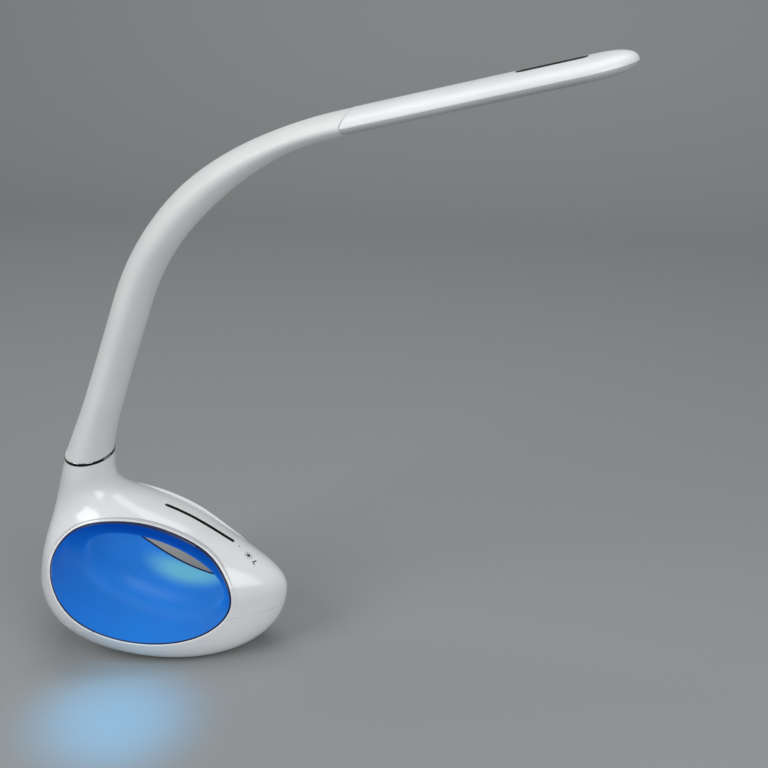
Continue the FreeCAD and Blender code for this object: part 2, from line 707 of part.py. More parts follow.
slider_rear_top = crest_height(size("slider_rear"))
slider_front_top = crest_height(size("slider_front"))
chord_slope = math.degrees(math.atan2(slider_rear_top - slider_front_top, slider_reach))
chord_middle = Vector((size("slider_rear") + size("slider_front")) / 2, 0,
                      (slider_rear_top + slider_front_top) / 2)
touch_frame = Placement(chord_middle, Rotation(Vector(0, 1, 0), chord_slope))
touch_reach = size("touch_board_length") / 2 - size("board_screw_inset")
touch_posts = [Vector(sign * touch_reach, 0, -size("touch_board_drop")) for sign in (-1, 1)]
slider_floor = hull(size("slider_depth"), lift / 2, lift, neck_top)

upper_posts = [post(x, y, seam, neck_top, size("shell_post_radius")) for x, y in shell_posts]
touch_pilots = []
for place in touch_posts:
    touch_post = Part.makeCylinder(size("post_radius"), 2 * size("touch_board_drop"), place)
    touch_post.Placement = touch_frame
    upper_posts.append(touch_post)
    pilot = Part.makeCylinder(size("screw_radius"), size("screw_length"), place)
    pilot.Placement = touch_frame
    touch_pilots.append(pilot)
upper_space = cut_all(hull_inside, [web] + upper_posts)
upper_cuts = [upper_space, slab(-wall, seam), liner_cut, slider_block(size("fit_gap")).cut(slider_floor)]
upper_cuts += [post(x, y, seam - 1, seam + size("shell_screw_bite"), size("shell_screw_radius"))
               for x, y in shell_posts]
upper = cut_all(hull_outside, upper_cuts + touch_pilots)
shape_part(upper, "base_upper_shell")

strip = slider_block(0.0).common(hull_outside).cut(slider_floor)
shape_part(strip, "touch_strip")

jack_axis = Vector(-1, 0, 0)
jack_mouth = hull_limits(size("jack_height"), 0.0, 0.0)[0] + size("jack_inset")
board_top = size("board_height") + size("board_thick")
floor_top = lift + wall
foot_places = [(0.0, 0.0)]
foot_places += [(x, sign * size("foot_side")) for x in (size("foot_front"), -size("foot_rear"))
                for sign in (-1, 1)]
inset = size("board_screw_inset")
board_holes = [(x - size("board_rear"), sign * (size("board_half_width") - inset))
               for x in (inset, size("board_length") - inset) for sign in (-1, 1)]
ballast_reach = size("ballast_half_length") - size("ballast_screw_inset")
ballast_holes = [(size("ballast_ahead") + sign * ballast_reach, 0.0) for sign in (-1, 1)]

lower_posts = [post(x, y, lift, seam, size("shell_post_radius")) for x, y in shell_posts]
lower_posts += [post(x, y, lift, size("board_height"), size("post_radius")) for x, y in board_holes]
head_seat = seam - size("shell_screw_under")
jack_hole = Part.makeCylinder(size("jack_radius") + size("fit_gap"), 30,
                              Vector(jack_mouth + 20, 0, size("jack_height")), jack_axis)
lower_cuts = [cut_all(hull_inside, lower_posts), slab(seam, 2 * neck_top), liner_cut, jack_hole]
for x, y in shell_posts:
    lower_cuts.append(post(x, y, -1, head_seat, size("shell_screw_head") + size("fit_gap")))
    lower_cuts.append(post(x, y, -1, seam + 1, size("shell_screw_radius") + size("fit_gap")))
for x, y in board_holes:
    lower_cuts.append(post(x, y, board_top - size("screw_length"), neck_top, size("screw_radius")))
for x, y in foot_places:
    lower_cuts.append(post(x, y, -1, size("foot_thick"), size("foot_radius") + size("fit_gap")))
for x, y in ballast_holes:
    lower_cuts.append(post(x, y, lift + 1.0, floor_top + 1, size("screw_radius")))
lower = cut_all(hull_outside, lower_cuts)
shape_part(lower, "base_lower_shell")

liner = liner_outside.cut(tunnel_space).common(liner_limit)
shape_part(liner, "glow_tunnel")

# The liner widens towards its mouths, most of all at its roof, so the strip stands off by that much at its edges.
roof_rise = abs(size("window_height") + size("window_half_height") - size("waist_height") - size("waist_half_height"))
strip_stand = round(roof_rise * (1 - waist_share(size("strip_width") / 2)) + size("strip_clear"), 2)
strip_inner = size("liner_wall") + strip_stand
strip_outer = strip_inner + size("strip_thick")


def waist_band(inner, outer, width):
    """Flat band round the tunnel's waist."""
    half = Vector(0, -width / 2, 0)
    run = Vector(0, width, 0)
    solids = []
    for grow in (outer, inner):
        outline = tunnel_oval(0.0, grow)
        outline.translate(half)
        solids.append(Part.Face(outline).extrude(run))
    return solids[0].cut(solids[1])


shape_part(waist_band(strip_inner, strip_outer, size("strip_width")), "glow_led_strip")
glow_leds = []
led_band = waist_band(strip_inner - size("glow_led_height"), strip_inner, size("glow_led_length"))
for number in range(GLOW_LEDS):
    turn = 2 * math.pi * (number + 0.5) / GLOW_LEDS
    place = Placement(Vector(size("waist_ahead"), 0, size("waist_height")),
                      Rotation(Vector(0, 1, 0), size("waist_tilt")))
    spot = place.multVec(Vector((size("waist_half_length") + strip_inner) * math.cos(turn), 0,
                                (size("waist_half_height") + strip_inner) * math.sin(turn)))
    half = size("glow_led_length") / 2
    cube = Part.makeBox(2 * half, 2 * half, 2 * half, spot - Vector(half, half, half))
    glow_leds.append(led_band.common(cube))
shape_part(Part.makeCompound(glow_leds), "glow_leds")


# ---------------------------------------------------------------- parts inside the base

def plane(body, role):
    """A body's own origin plane."""
    return next(f for f in body.Origin.OriginFeatures if f.Role == role)


def sketch_on(body, name, role="XY_Plane"):
    """Sketch on a body's own origin plane."""
    sketch = body.newObject("Sketcher::SketchObject", name)
    sketch.AttachmentSupport = [(plane(body, role), "")]
    sketch.MapMode = "FlatFace"
    return sketch


def add_circle(sketch, x, y, radius):
    """Circle with its centre and radius bound to expressions."""
    index = sketch.addGeometry(Part.Circle(Vector(1, 1, 0), Vector(0, 0, 1), 1))
    for kind, expression in (("DistanceX", x), ("DistanceY", y)):
        number = sketch.addConstraint(Sketcher.Constraint(kind, -1, 1, index, 3, 1.0))
        sketch.setExpression("Constraints[%d]" % number, expression)
    number = sketch.addConstraint(Sketcher.Constraint("Radius", index, 1.0))
    sketch.setExpression("Constraints[%d]" % number, radius)
    return index


def add_rectangle(sketch, left, right, low, high):
    """Rectangle with its four sides bound to expressions."""
    corners = [Vector(-1, -1, 0), Vector(1, -1, 0), Vector(1, 1, 0), Vector(-1, 1, 0)]
    first = sketch.GeometryCount
    for i in range(4):
        sketch.addGeometry(Part.LineSegment(corners[i], corners[(i + 1) % 4]))
    for i in range(4):
        sketch.addConstraint(Sketcher.Constraint("Coincident", first + i, 2, first + (i + 1) % 4, 1))
        sketch.addConstraint(Sketcher.Constraint("Horizontal" if i % 2 == 0 else "Vertical", first + i))
    for corner, kind, expression in ((0, "DistanceX", left), (0, "DistanceY", low),
                                     (2, "DistanceX", right), (2, "DistanceY", high)):
        number = sketch.addConstraint(Sketcher.Constraint(kind, -1, 1, first + corner, 1, 1.0))
        sketch.setExpression("Constraints[%d]" % number, expression)
    return first


def pad(body, sketch, length, name="Pad"):
    """Pad of a sketch with its length bound to an expression."""
    feature = body.newObject("PartDesign::Pad", name)
    feature.Profile = sketch
    feature.setExpression("Length", length)
    return feature


# Rubber feet: one disc under the origin and four round it, in shallow seats of the sole.
feet = []
for x, y in foot_places:
    disc = Part.makeCylinder(size("foot_radius"), size("foot_thick"), Vector(x, y, 0))
    rim = [e for e in disc.Edges if e.Closed and e.BoundBox.ZMax < 0.01]
    feet.append(disc.makeChamfer(size("foot_chamfer"), rim))
shape_part(Part.makeCompound(feet), "rubber_feet")

# Ballast plate: an oval steel plate on the floor of the lower shell, held by two screws.
plate_edge = doc.addObject("Part::Ellipse", "ballast_outline")
bind(plate_edge, MajorRadius="Sizes.ballast_half_length", MinorRadius="Sizes.ballast_half_width",
     Placement__Base__x="Sizes.ballast_ahead", Placement__Base__z="Sizes.sole_lift + Sizes.shell_wall")
plate = doc.addObject("Part::Extrusion", "ballast_solid")
plate.Base = plate_edge
plate.DirMode = "Custom"
plate.Dir = Vector(0, 0, 1)
plate.Solid = True
bind(plate, LengthFwd="Sizes.ballast_thick")
plate_holes = []
for number, sign in enumerate((-1, 1)):
    hole = doc.addObject("Part::Cylinder", "ballast_hole_%d" % number)
    bind(hole, Radius="Sizes.screw_radius + Sizes.fit_gap", Height="2 * Sizes.ballast_thick",
         Placement__Base__x="Sizes.ballast_ahead + %d * (%s)" % (
             sign, "Sizes.ballast_half_length - Sizes.ballast_screw_inset"),
         Placement__Base__z="Sizes.sole_lift")
    plate_holes.append(hole)
hole_pair = doc.addObject("Part::MultiFuse", "ballast_holes")
hole_pair.Shapes = plate_holes
ballast = doc.addObject("Part::Cut", "ballast_plate")
ballast.Base = plate
ballast.Tool = hole_pair
part(ballast, "ballast_plate")


def screw(x, y, seat, shank, radius, head_radius, head_height, up=1):
    """Pan-head screw: its head sits on the seat and its shank points away from the head."""
    axis = Vector(0, 0, up)
    head = Part.makeCylinder(head_radius, head_height, Vector(x, y, seat), axis)
    return head.fuse(Part.makeCylinder(radius, shank, Vector(x, y, seat), -axis)).removeSplitter()


def small_screw(x, y, seat, shank=None):
    """Small screw with its head on top of the seat."""
    return screw(x, y, seat, shank or size("screw_length"), size("screw_radius") - size("screw_slack"),
                 size("screw_head_radius"), size("screw_head_height"))


ballast_top = floor_top + size("ballast_thick")
shape_part(Part.makeCompound([small_screw(x, y, ballast_top, size("ballast_thick") + 1.2)
                              for x, y in ballast_holes]), "ballast_screws")
shape_part(Part.makeCompound([small_screw(x, y, board_top, size("board_screw_length"))
                              for x, y in board_holes]), "board_screws")
shape_part(Part.makeCompound([screw(x, y, seam - size("shell_screw_under"),
                                    size("shell_screw_under") + size("shell_screw_bite") - 0.5,
                                    size("shell_screw_radius") - 0.05, size("shell_screw_head"), 2.0, -1)
                              for x, y in shell_posts]), "shell_screws")

# Main board: a flat board on four posts.
board_body = doc.addObject("PartDesign::Body", "main_board")
board_sketch = sketch_on(board_body, "board_outline")
add_rectangle(board_sketch, "-Sizes.board_rear", "Sizes.board_length - Sizes.board_rear",
              "-Sizes.board_half_width", "Sizes.board_half_width")
for x in ("Sizes.board_screw_inset", "Sizes.board_length - Sizes.board_screw_inset"):
    for y in ("Sizes.board_screw_inset - Sizes.board_half_width",
              "Sizes.board_half_width - Sizes.board_screw_inset"):
        add_circle(board_sketch, x + " - Sizes.board_rear", y, "Sizes.screw_radius + Sizes.fit_gap")
pad(board_body, board_sketch, "Sizes.board_thick")
board_body.setExpression("Placement.Base.z", "Sizes.board_height")
part(board_body, "main_board")

# Components on the main board: a driver, a choke and a capacitor.
chip_foot = Vector(-size("board_rear") + 12, -8, board_top)
driver_chip = Part.makeBox(size("chip_size"), size("chip_size"), size("chip_thick"), chip_foot)
coil_ahead = size("coil_inset") - size("board_rear")
choke = Part.makeCylinder(size("choke_radius"), size("choke_height"),
                          Vector(coil_ahead, -size("choke_side"), board_top))
capacitor = Part.makeCylinder(size("capacitor_radius"), size("capacitor_height"),
                              Vector(coil_ahead, size("capacitor_side"), board_top))
shape_part(Part.makeCompound([driver_chip, choke, capacitor]), "board_components")

# Power jack: a barrel that looks out of the rear of the lower shell, with a body on the main board.


def jack_rod(radius, start, length):
    """Cylinder on the jack's axis that starts at a distance inside its mouth."""
    return Part.makeCylinder(radius, length, Vector(jack_mouth + start, 0, size("jack_height")), -jack_axis)


jack_block = Part.makeBox(size("jack_body"), 2 * size("jack_radius"),
                          size("jack_height") + size("jack_radius") - board_top,
                          Vector(jack_mouth + size("jack_barrel"), -size("jack_radius"), board_top))
jack = jack_rod(size("jack_radius"), 0, size("jack_barrel")).fuse(jack_block)
jack = jack.cut(jack_rod(size("jack_bore"), -1, size("jack_barrel") + 3))
jack = jack.fuse(jack_rod(size("jack_pin"), 1, size("jack_barrel") + 2))
shape_part(jack.removeSplitter(), "power_jack")

# Touch board under the crest, with its two screws.
touch_body = doc.addObject("PartDesign::Body", "touch_board")
touch_sketch = sketch_on(touch_body, "touch_outline")
add_rectangle(touch_sketch, "-Sizes.touch_board_length / 2", "Sizes.touch_board_length / 2",
              "-Sizes.touch_board_width / 2", "Sizes.touch_board_width / 2")
for x in ("Sizes.board_screw_inset - Sizes.touch_board_length / 2",
          "Sizes.touch_board_length / 2 - Sizes.board_screw_inset"):
    add_circle(touch_sketch, x, "0", "Sizes.screw_radius + Sizes.fit_gap")
pad(touch_body, touch_sketch, "Sizes.board_thick")
touch_low = Vector(0, 0, -size("touch_board_drop") - size("board_thick"))
touch_body.Placement = touch_frame * Placement(touch_low, Rotation())
part(touch_body, "touch_board")
touch_screws = [screw(v.x, v.y, v.z - size("board_thick"), size("screw_length"),
                      size("screw_radius") - size("screw_slack"),
                      size("screw_head_radius"), size("screw_head_height"), -1) for v in touch_posts]
shape_part(Part.makeCompound(touch_screws), "touch_screws", touch_frame)

# Lead from the arm's socket down behind the tunnel to the main board.
lead_start = arm_frame(lead_foot).Base
lead_turn = arm_frame(lead_foot - 24).Base
lead_end = Vector(size("lead_ahead") - size("board_rear"), size("lead_side"), board_top)
lead_points = [lead_start, lead_turn, Vector(-size("lead_back"), size("lead_side") / 2, size("rear_height")),
               lead_end + Vector(0, 0, 15), lead_end]


def rounded_path(points):
    """Straight runs joined by tangent arcs, each as large as its shorter run allows."""
    edges = []
    start = points[0]
    for before, corner, after in zip(points, points[1:], points[2:]):
        back = (before - corner).normalize()
        ahead = (after - corner).normalize()
        run = 0.45 * min((before - corner).Length, (after - corner).Length)
        first = corner + back * run
        last = corner + ahead * run
        half_turn = (math.pi - back.getAngle(ahead)) / 2
        radius = run / math.tan(half_turn)
        centre = corner + (back + ahead).normalize() * (radius / math.cos(half_turn))
        middle = centre + (corner - centre).normalize() * radius
        edges.append(Part.LineSegment(start, first).toShape())
        edges.append(Part.Arc(first, middle, last).toShape())
        print("lead bend radius %.1f" % radius)
        start = last
    edges.append(Part.LineSegment(start, points[-1]).toShape())
    return Part.Wire(edges)


lead_path = rounded_path(lead_points)
lead_circle = Part.Circle(lead_points[0], lead_points[1] - lead_points[0], size("wire_radius")).toShape()
lead = lead_path.makePipeShell([Part.Wire([lead_circle])], True, True)
print("lead volume ratio %.3f" % (lead.Volume / (math.pi * size("wire_radius") ** 2 * lead_path.Length)))
shape_part(lead, "base_lead")


# ---------------------------------------------------------------- head

head_frame = arm_frame(arm_length)
edge_level = -size("edge_drop")
head_rear = -2 * size("seam_sag")


def oval_arc(centre, first, second, start, stop):
    """Edge along centre + first * cos + second * sin, from one quarter turn to another."""
    if first.Length >= second.Length:
        curve = Part.Ellipse(centre + first, centre + second, centre)
        return Part.ArcOfEllipse(curve, start * math.pi / 2, stop * math.pi / 2).toShape()
    curve = Part.Ellipse(centre + second, centre - first, centre)
    return Part.ArcOfEllipse(curve, (start - 1) * math.pi / 2, (stop - 1) * math.pi / 2).toShape()


def outline_prism(edges, corners, run):
    """Prism over an outline of edges that is closed by straight lines through the corners."""
    lines = [Part.LineSegment(p, q).toShape() for p, q in zip(corners, corners[1:])]
    return Part.Face(Part.Wire(Part.__sortEdges__(edges + lines))).extrude(run)


def head_plan(inset):
    """Upright prism over the head's outline from above, drawn in by inset: straight sides and an oval tip."""
    half = size("head_half_width") - inset
    tip_start = size("head_length") - size("tip_run")
    low = -2 * size("head_crown")
    reach = Vector(size("tip_run") - inset, 0, 0)
    tip = oval_arc(Vector(tip_start, 0, low), Vector(0, -half, 0), reach, 0, 2)
    corners = [Vector(tip_start, half, low), Vector(head_rear, half, low), Vector(head_rear, -half, low),
               Vector(tip_start, -half, low)]
    return outline_prism([tip], corners, Vector(0, 0, 4 * size("head_crown")))


def head_side(height, run, inset):
    """Prism across the head over its outline from the side: level, then curved down or up to the tip."""
    side = -2 * size("head_half_width")
    start = size("head_length") - run
    level = size("tip_bulge") * height
    tip = oval_arc(Vector(start, side, edge_level), Vector(run - inset, 0, 0), Vector(0, 0, level), 0, 1)
    corners = [Vector(start, side, edge_level + level), Vector(head_rear, side, edge_level + level),
               Vector(head_rear, side, edge_level), Vector(start + run - inset, side, edge_level)]
    return outline_prism([tip], corners, Vector(0, -2 * side, 0))


def cover_form(inset):
    """Solid of the cover, drawn in by inset: a crown of half an ellipse over the edge line."""
    half = Vector(0, size("head_half_width") - inset, 0)
    rise = Vector(0, 0, size("head_crown") - inset)
    foot = Vector(head_rear, 0, edge_level)
    crown = outline_prism([oval_arc(foot, half, rise, 0, 2)], [foot - half, foot + half],
                          Vector(size("head_length") - head_rear, 0, 0))
    crown = crown.common(head_plan(inset))
    return crown.common(head_side(size("head_crown") - inset, size("crown_run"), inset))


def tray_form(inset):
    """Solid of the tray, drawn in by inset: a flat bottom with rounded sides under the edge line."""
    half = size("head_half_width")
    flat = half - size("tray_corner")
    drop = Vector(0, 0, inset - size("head_keel"))
    corners = [Vector(head_rear, sign * flat, edge_level) for sign in (-1, 1)]
    outward = Vector(0, size("tray_corner") - inset, 0)
    arcs = [oval_arc(corners[0], -outward, drop, 0, 1), oval_arc(corners[1], outward, drop, 0, 1)]
    edges = arcs + [Part.LineSegment(corners[0] + drop, corners[1] + drop).toShape(),
                    Part.LineSegment(corners[0] - outward, corners[1] + outward).toShape()]
    run = Vector(size("head_length") - head_rear, 0, 0)
    section = outline_prism(edges, [], run)
    section = section.common(head_plan(inset))
    return section.common(head_side(inset - size("head_keel"), size("tray_run"), inset))


cover_wall = size("cover_wall")
seam_cut = seam_round()
seam_cut.Placement = head_frame.inverse() * seam_cut.Placement


def u_box(start, length, half_width, low, high):
    """Block in the head's own frame."""
    return Part.makeBox(length, 2 * half_width, high - low, Vector(start, -half_width, low))


cover_solid = cover_form(0.0)
cover_space = cover_form(cover_wall)
tray_solid = tray_form(0.0)
tray_space = tray_form(cover_wall)
slot_floor = cover_form(size("slot_depth"))

tray_bottom = edge_level - size("head_keel")
head_screw_places = [(9.0, 16.0), (9.0, -16.0), (size("diffuser_start") + size("diffuser_length") + 5.5, 0.0)]
boss_radius = size("head_boss_radius")
screw_seat = tray_bottom + size("head_screw_depth")


def head_pin(u, v, radius, low, length):
    """Cylinder across the head."""
    return Part.makeCylinder(radius, length, Vector(u, v, low))


def slot_form(grow):
    """Upright bar with round ends over the sensor strip, grown by a clearance."""
    half = size("slot_width") / 2
    run = size("slot_length") - 2 * half
    height = 4 * size("head_crown")
    bar = u_box(size("slot_start") + half, run, half + grow, edge_level, edge_level + height)
    ends = [head_pin(size("slot_start") + half + share * run, 0, half + grow, edge_level, height)
            for share in (0, 1)]
    return bar.fuse(ends).removeSplitter()


cover_bosses = [head_pin(u, v, boss_radius, edge_level, 20) for u, v in head_screw_places]
pilot_radius = size("head_screw_radius") + 0.05
cover_pilots = [head_pin(u, v, pilot_radius, edge_level - 1, size("head_screw_bite") + 1.3)
                for u, v in head_screw_places]
cover_cuts = [cut_all(cover_space, cover_bosses), seam_cut, slot_form(size("fit_gap")).cut(slot_floor)]
cover = cut_all(cover_solid, cover_cuts + cover_pilots)
shape_part(cover, "head_top_cover", head_frame)

sensor = slot_form(0.0).common(cover_solid).cut(slot_floor)
shape_part(sensor, "head_sensor_strip", head_frame)

window = u_box(size("diffuser_start"), size("diffuser_length"), size("diffuser_half_width"), tray_bottom - 1,
               edge_level)
tray_bosses = [head_pin(u, v, boss_radius, tray_bottom, 20) for u, v in head_screw_places]
shank_hole = size("head_screw_radius") + size("fit_gap")
tray_holes = [head_pin(u, v, size("head_screw_head") + size("fit_gap"), tray_bottom - 1,
                       size("head_screw_depth") + 1) for u, v in head_screw_places]
tray_holes += [head_pin(u, v, shank_hole, tray_bottom - 1, 20) for u, v in head_screw_places]
groove_radius = size("core_radius") + size("core_clearance")
core_groove = Part.makeCylinder(groove_radius, core_tip - arm_length - head_rear + 1, Vector(head_rear, 0, 0),
                                Vector(1, 0, 0))
tray_cuts = [cut_all(tray_space, tray_bosses), seam_cut, window, core_groove] + tray_holes
tray = cut_all(tray_solid, tray_cuts)
shape_part(tray, "head_tray", head_frame)

# Diffuser: a plate in the tray's window, with a flange that rests on the tray's floor.
diffuser_body = doc.addObject("PartDesign::Body", "head_diffuser")
diffuser_sketch = sketch_on(diffuser_body, "diffuser_outline")
add_rectangle(diffuser_sketch, "Sizes.diffuser_start + Sizes.fit_gap",
              "Sizes.diffuser_start + Sizes.diffuser_length - Sizes.fit_gap",
              "Sizes.fit_gap - Sizes.diffuser_half_width", "Sizes.diffuser_half_width - Sizes.fit_gap")
pad(diffuser_body, diffuser_sketch, "Sizes.diffuser_thick")
diffuser_low = tray_bottom + 0.2
diffuser_body.Placement = head_frame * Placement(Vector(0, 0, diffuser_low), Rotation())
part(diffuser_body, "head_diffuser")

reflector_low = diffuser_low + size("diffuser_thick")
reflector_high = reflector_low + size("reflector_height")
lap = size("reflector_lap")
rim = size("reflector_rim")
board_half = size("diffuser_half_width") + lap
reflector = u_box(size("diffuser_start") - lap, size("diffuser_length") + 2 * lap,
                  board_half, reflector_low, reflector_high)
reflector = reflector.cut(u_box(size("diffuser_start") + rim, size("diffuser_length") - 2 * rim,
                                size("diffuser_half_width") - rim, reflector_low - 1, reflector_high + 1))
shape_part(reflector, "head_reflector", head_frame)

led_board = u_box(size("diffuser_start") - lap, size("diffuser_length") + 2 * lap, board_half,
                  reflector_high, reflector_high + size("led_board_thick"))
shape_part(led_board, "head_led_board", head_frame)
white_leds = []
led_count = int((size("diffuser_length") - 8) // size("led_pitch")) + 1
led_first = size("diffuser_start") + (size("diffuser_length") - (led_count - 1) * size("led_pitch")) / 2
for row_sign in (-1, 1):
    for i in range(led_count):
        corner = Vector(led_first + i * size("led_pitch") - size("led_length") / 2,
                        row_sign * size("diffuser_half_width") / 2 - size("led_width") / 2,
                        reflector_high - size("led_height"))
        white_leds.append(Part.makeBox(size("led_length"), size("led_width"), size("led_height"), corner))
shape_part(Part.makeCompound(white_leds), "head_leds", head_frame)

# Clamp: a metal block on the core's end, held between the cover and the tray.
clamp_start = 1.0
clamp_top = size("core_radius") + size("clamp_cover")
clamp = u_box(clamp_start, size("clamp_length"), size("clamp_half_width"), tray_bottom + cover_wall,
              clamp_top)
clamp = clamp.cut(Part.makeCylinder(groove_radius, core_tip - arm_length - clamp_start,
                                    Vector(clamp_start, 0, 0), Vector(1, 0, 0)))
clamp = clamp.cut(Part.makeCylinder(size("wire_radius") + size("clamp_gap"), 2 * size("clamp_length"),
                                    Vector(clamp_start, 0, 0), Vector(1, 0, 0)))
shape_part(clamp, "core_clamp", head_frame)

head_screw_length = edge_level + size("head_screw_bite") - screw_seat
head_screws = [screw(u, v, screw_seat, head_screw_length, size("head_screw_radius"), size("head_screw_head"),
                     size("head_screw_high"), -1) for u, v in head_screw_places]
shape_part(Part.makeCompound(head_screws), "head_screws", head_frame)

# ---------------------------------------------------------------- checks and export

doc.recompute()
for obj in doc.Objects:
    if "Invalid" in obj.State or "Error" in obj.State:
        raise RuntimeError("%s failed: %s" % (obj.Label, obj.State))
for obj in parts:
    if obj.Shape.isNull() or not obj.Shape.isValid() or not obj.Shape.Solids:
        raise RuntimeError("%s has no valid solid" % obj.Label)

os.makedirs("parts", exist_ok=True)
for obj in parts:
    obj.Shape.exportStep("parts/%s.step" % obj.Label)
    box = obj.Shape.BoundBox
    print("%-20s solids %2d volume %9.1f  x %7.1f %7.1f  y %6.1f %6.1f  z %6.1f %6.1f" % (
        obj.Label, len(obj.Shape.Solids), obj.Shape.Volume,
        box.XMin, box.XMax, box.YMin, box.YMax, box.ZMin, box.ZMax))
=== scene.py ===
# %% [markdown]
# # A desk lamp with a glowing, hollow base
# This lesson dresses a lamp whose working parts are already built: an egg-shaped base with a tunnel of blue
# light, a flat flexible arm and a slim LED head. The outer skins are modelled again here with clean, even
# faces, because a glossy white shell shows every uneven triangle. Everything that hides inside keeps the
# frame's own solids and only gets a finish. The first cell loads the frame.

# %% Load the frame
import bisect
import math

import bmesh
import bpy
from mathutils import Matrix, Vector


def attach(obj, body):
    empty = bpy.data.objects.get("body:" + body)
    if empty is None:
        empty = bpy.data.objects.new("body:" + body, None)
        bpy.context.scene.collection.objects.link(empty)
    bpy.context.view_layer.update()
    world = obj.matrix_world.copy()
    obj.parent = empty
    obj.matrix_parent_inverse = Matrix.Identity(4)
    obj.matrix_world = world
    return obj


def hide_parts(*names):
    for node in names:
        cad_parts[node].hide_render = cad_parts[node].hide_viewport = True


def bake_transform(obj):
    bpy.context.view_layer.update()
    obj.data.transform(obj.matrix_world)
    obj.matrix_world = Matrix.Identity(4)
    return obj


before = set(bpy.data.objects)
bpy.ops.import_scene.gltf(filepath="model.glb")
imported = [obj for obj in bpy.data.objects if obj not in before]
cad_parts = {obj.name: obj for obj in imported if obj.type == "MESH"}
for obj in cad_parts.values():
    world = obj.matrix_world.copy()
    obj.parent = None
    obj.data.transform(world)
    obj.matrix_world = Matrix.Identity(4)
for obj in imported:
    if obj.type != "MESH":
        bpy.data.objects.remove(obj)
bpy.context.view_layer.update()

# %% [markdown]
# ## Working in millimetres
# The frame is in metres, but a lamp is easier to think about in millimetres. Each piece is therefore shaped in
# millimetres in its own bmesh and scaled once, just before it becomes an object. A ring of vertices that is
# extruded again and again is the main tool: every vertex carries the number of its column in a layer, an
# extrusion copies that number, and a formula then says where that column belongs in the new ring.

# %% Helpers: rings, grids and finished pieces
MM = 0.001
WELD, CUT_REACH = 0.002, 0.0005
SHARP_ANGLE, ROUND_ANGLE = 35, 50


def all_of(bm):
    """Everything in a bmesh."""
    return bm.verts[:] + bm.edges[:] + bm.faces[:]


def extrude(bm, edges):
    """Extrudes edges once; gives the new vertices and the edges between them."""
    grown = bmesh.ops.extrude_edge_only(bm, edges=edges)["geom"]
    fresh = {item for item in grown if isinstance(item, bmesh.types.BMVert)}
    return fresh, [item for item in grown
                   if isinstance(item, bmesh.types.BMEdge) and fresh.issuperset(item.verts)]


def start_ring(bm, count, place):
    """A closed ring of count vertices; place(i) gives the place of vertex i."""
    column = bm.verts.layers.int.new("column")
    ring = bmesh.ops.create_circle(bm, segments=count, radius=1.0)["verts"]
    for number, vert in enumerate(ring):
        vert[column] = number
        vert.co = place(number)
    return list(bm.edges)


def grow_ring(bm, edges, place):
    """Extrudes a ring and moves its new vertices to place(i)."""
    column = bm.verts.layers.int["column"]
    fresh, ring = extrude(bm, edges)
    for vert in fresh:
        vert.co = place(vert[column])
    return ring


def shaped_grid(columns, rows, place):
    """A grid whose vertices are moved by place(across, along), both running from -1 to 1."""
    bm = bmesh.new()
    bmesh.ops.create_grid(bm, x_segments=columns, y_segments=rows, size=1.0)
    for vert in bm.verts:
        vert.co = place(vert.co.x, vert.co.y)
    return bm


def skin(bm, name, material, sharp=SHARP_ANGLE):
    """Scales a bmesh to metres and makes it a smooth object at the origin."""
    bmesh.ops.remove_doubles(bm, verts=bm.verts, dist=WELD)
    bmesh.ops.recalc_face_normals(bm, faces=bm.faces)
    bmesh.ops.scale(bm, vec=(MM, MM, MM), verts=bm.verts)
    mesh = bpy.data.meshes.new(name)
    bm.to_mesh(mesh)
    bm.free()
    mesh.shade_smooth()
    mesh.set_sharp_from_angle(angle=math.radians(sharp))
    mesh.materials.append(material)
    piece = bpy.data.objects.new(name, mesh)
    bpy.context.scene.collection.objects.link(piece)
    print(name, len(mesh.polygons), "faces")
    return piece


def thicken(piece, wall, round_edge=0.0):
    """Gives a skin its wall on the inside, and its edges a small round."""
    solid = piece.modifiers.new("wall", "SOLIDIFY")
    solid.thickness = wall * MM
    solid.offset = -1
    if round_edge:
        bevel = piece.modifiers.new("edge", "BEVEL")
        bevel.width = round_edge * MM
        bevel.segments = 2
        bevel.limit_method = "ANGLE"
        bevel.angle_limit = math.radians(ROUND_ANGLE)
    return piece


# %% [markdown]
# ## Plastics that aren't one flat colour
# Moulded white plastic is never quite even: it has a faint warm and cool drift, and its gloss changes a little
# where hands touch it. One small function makes such a plastic from a noise texture that drives the colour and
# the roughness a few percent, plus a very fine bump. Object coordinates keep the pattern the same size on every
# piece. Two helpers keep the node code short: they add a node and link or set its inputs in one call.

# %% Materials: moulded plastic
NOISE_LOW, NOISE_HIGH = 0.3, 0.7
TONE_STOPS = (0.35, 0.65)
GRAIN_DEPTH = 0.0002


def new_material(name):
    """A node material, its tree and its shader."""
    material = bpy.data.materials.new(name)
    material.use_nodes = True
    return material, material.node_tree, material.node_tree.nodes["Principled BSDF"]


def fill(tree, node, inputs):
    """Sets a node's inputs: the output of another node is linked, anything else is a value."""
    for name, value in inputs.items():
        if isinstance(value, bpy.types.NodeSocket):
            tree.links.new(value, node.inputs[name])
        else:
            node.inputs[name].default_value = value


def add_node(tree, kind, inputs, **settings):
    """Adds a shader node and gives it its settings and inputs."""
    node = tree.nodes.new("ShaderNode" + kind)
    for name, value in settings.items():
        setattr(node, name, value)
    fill(tree, node, inputs)
    return node


def object_place(tree):
    """The place on the object, in metres."""
    return add_node(tree, "TexCoord", {}).outputs["Object"]


def noise(tree, scale, detail=3.0):
    """Value of a noise texture on Object coordinates."""
    inputs = {"Scale": scale, "Detail": detail, "Vector": object_place(tree)}
    return add_node(tree, "TexNoise", inputs).outputs["Fac"]


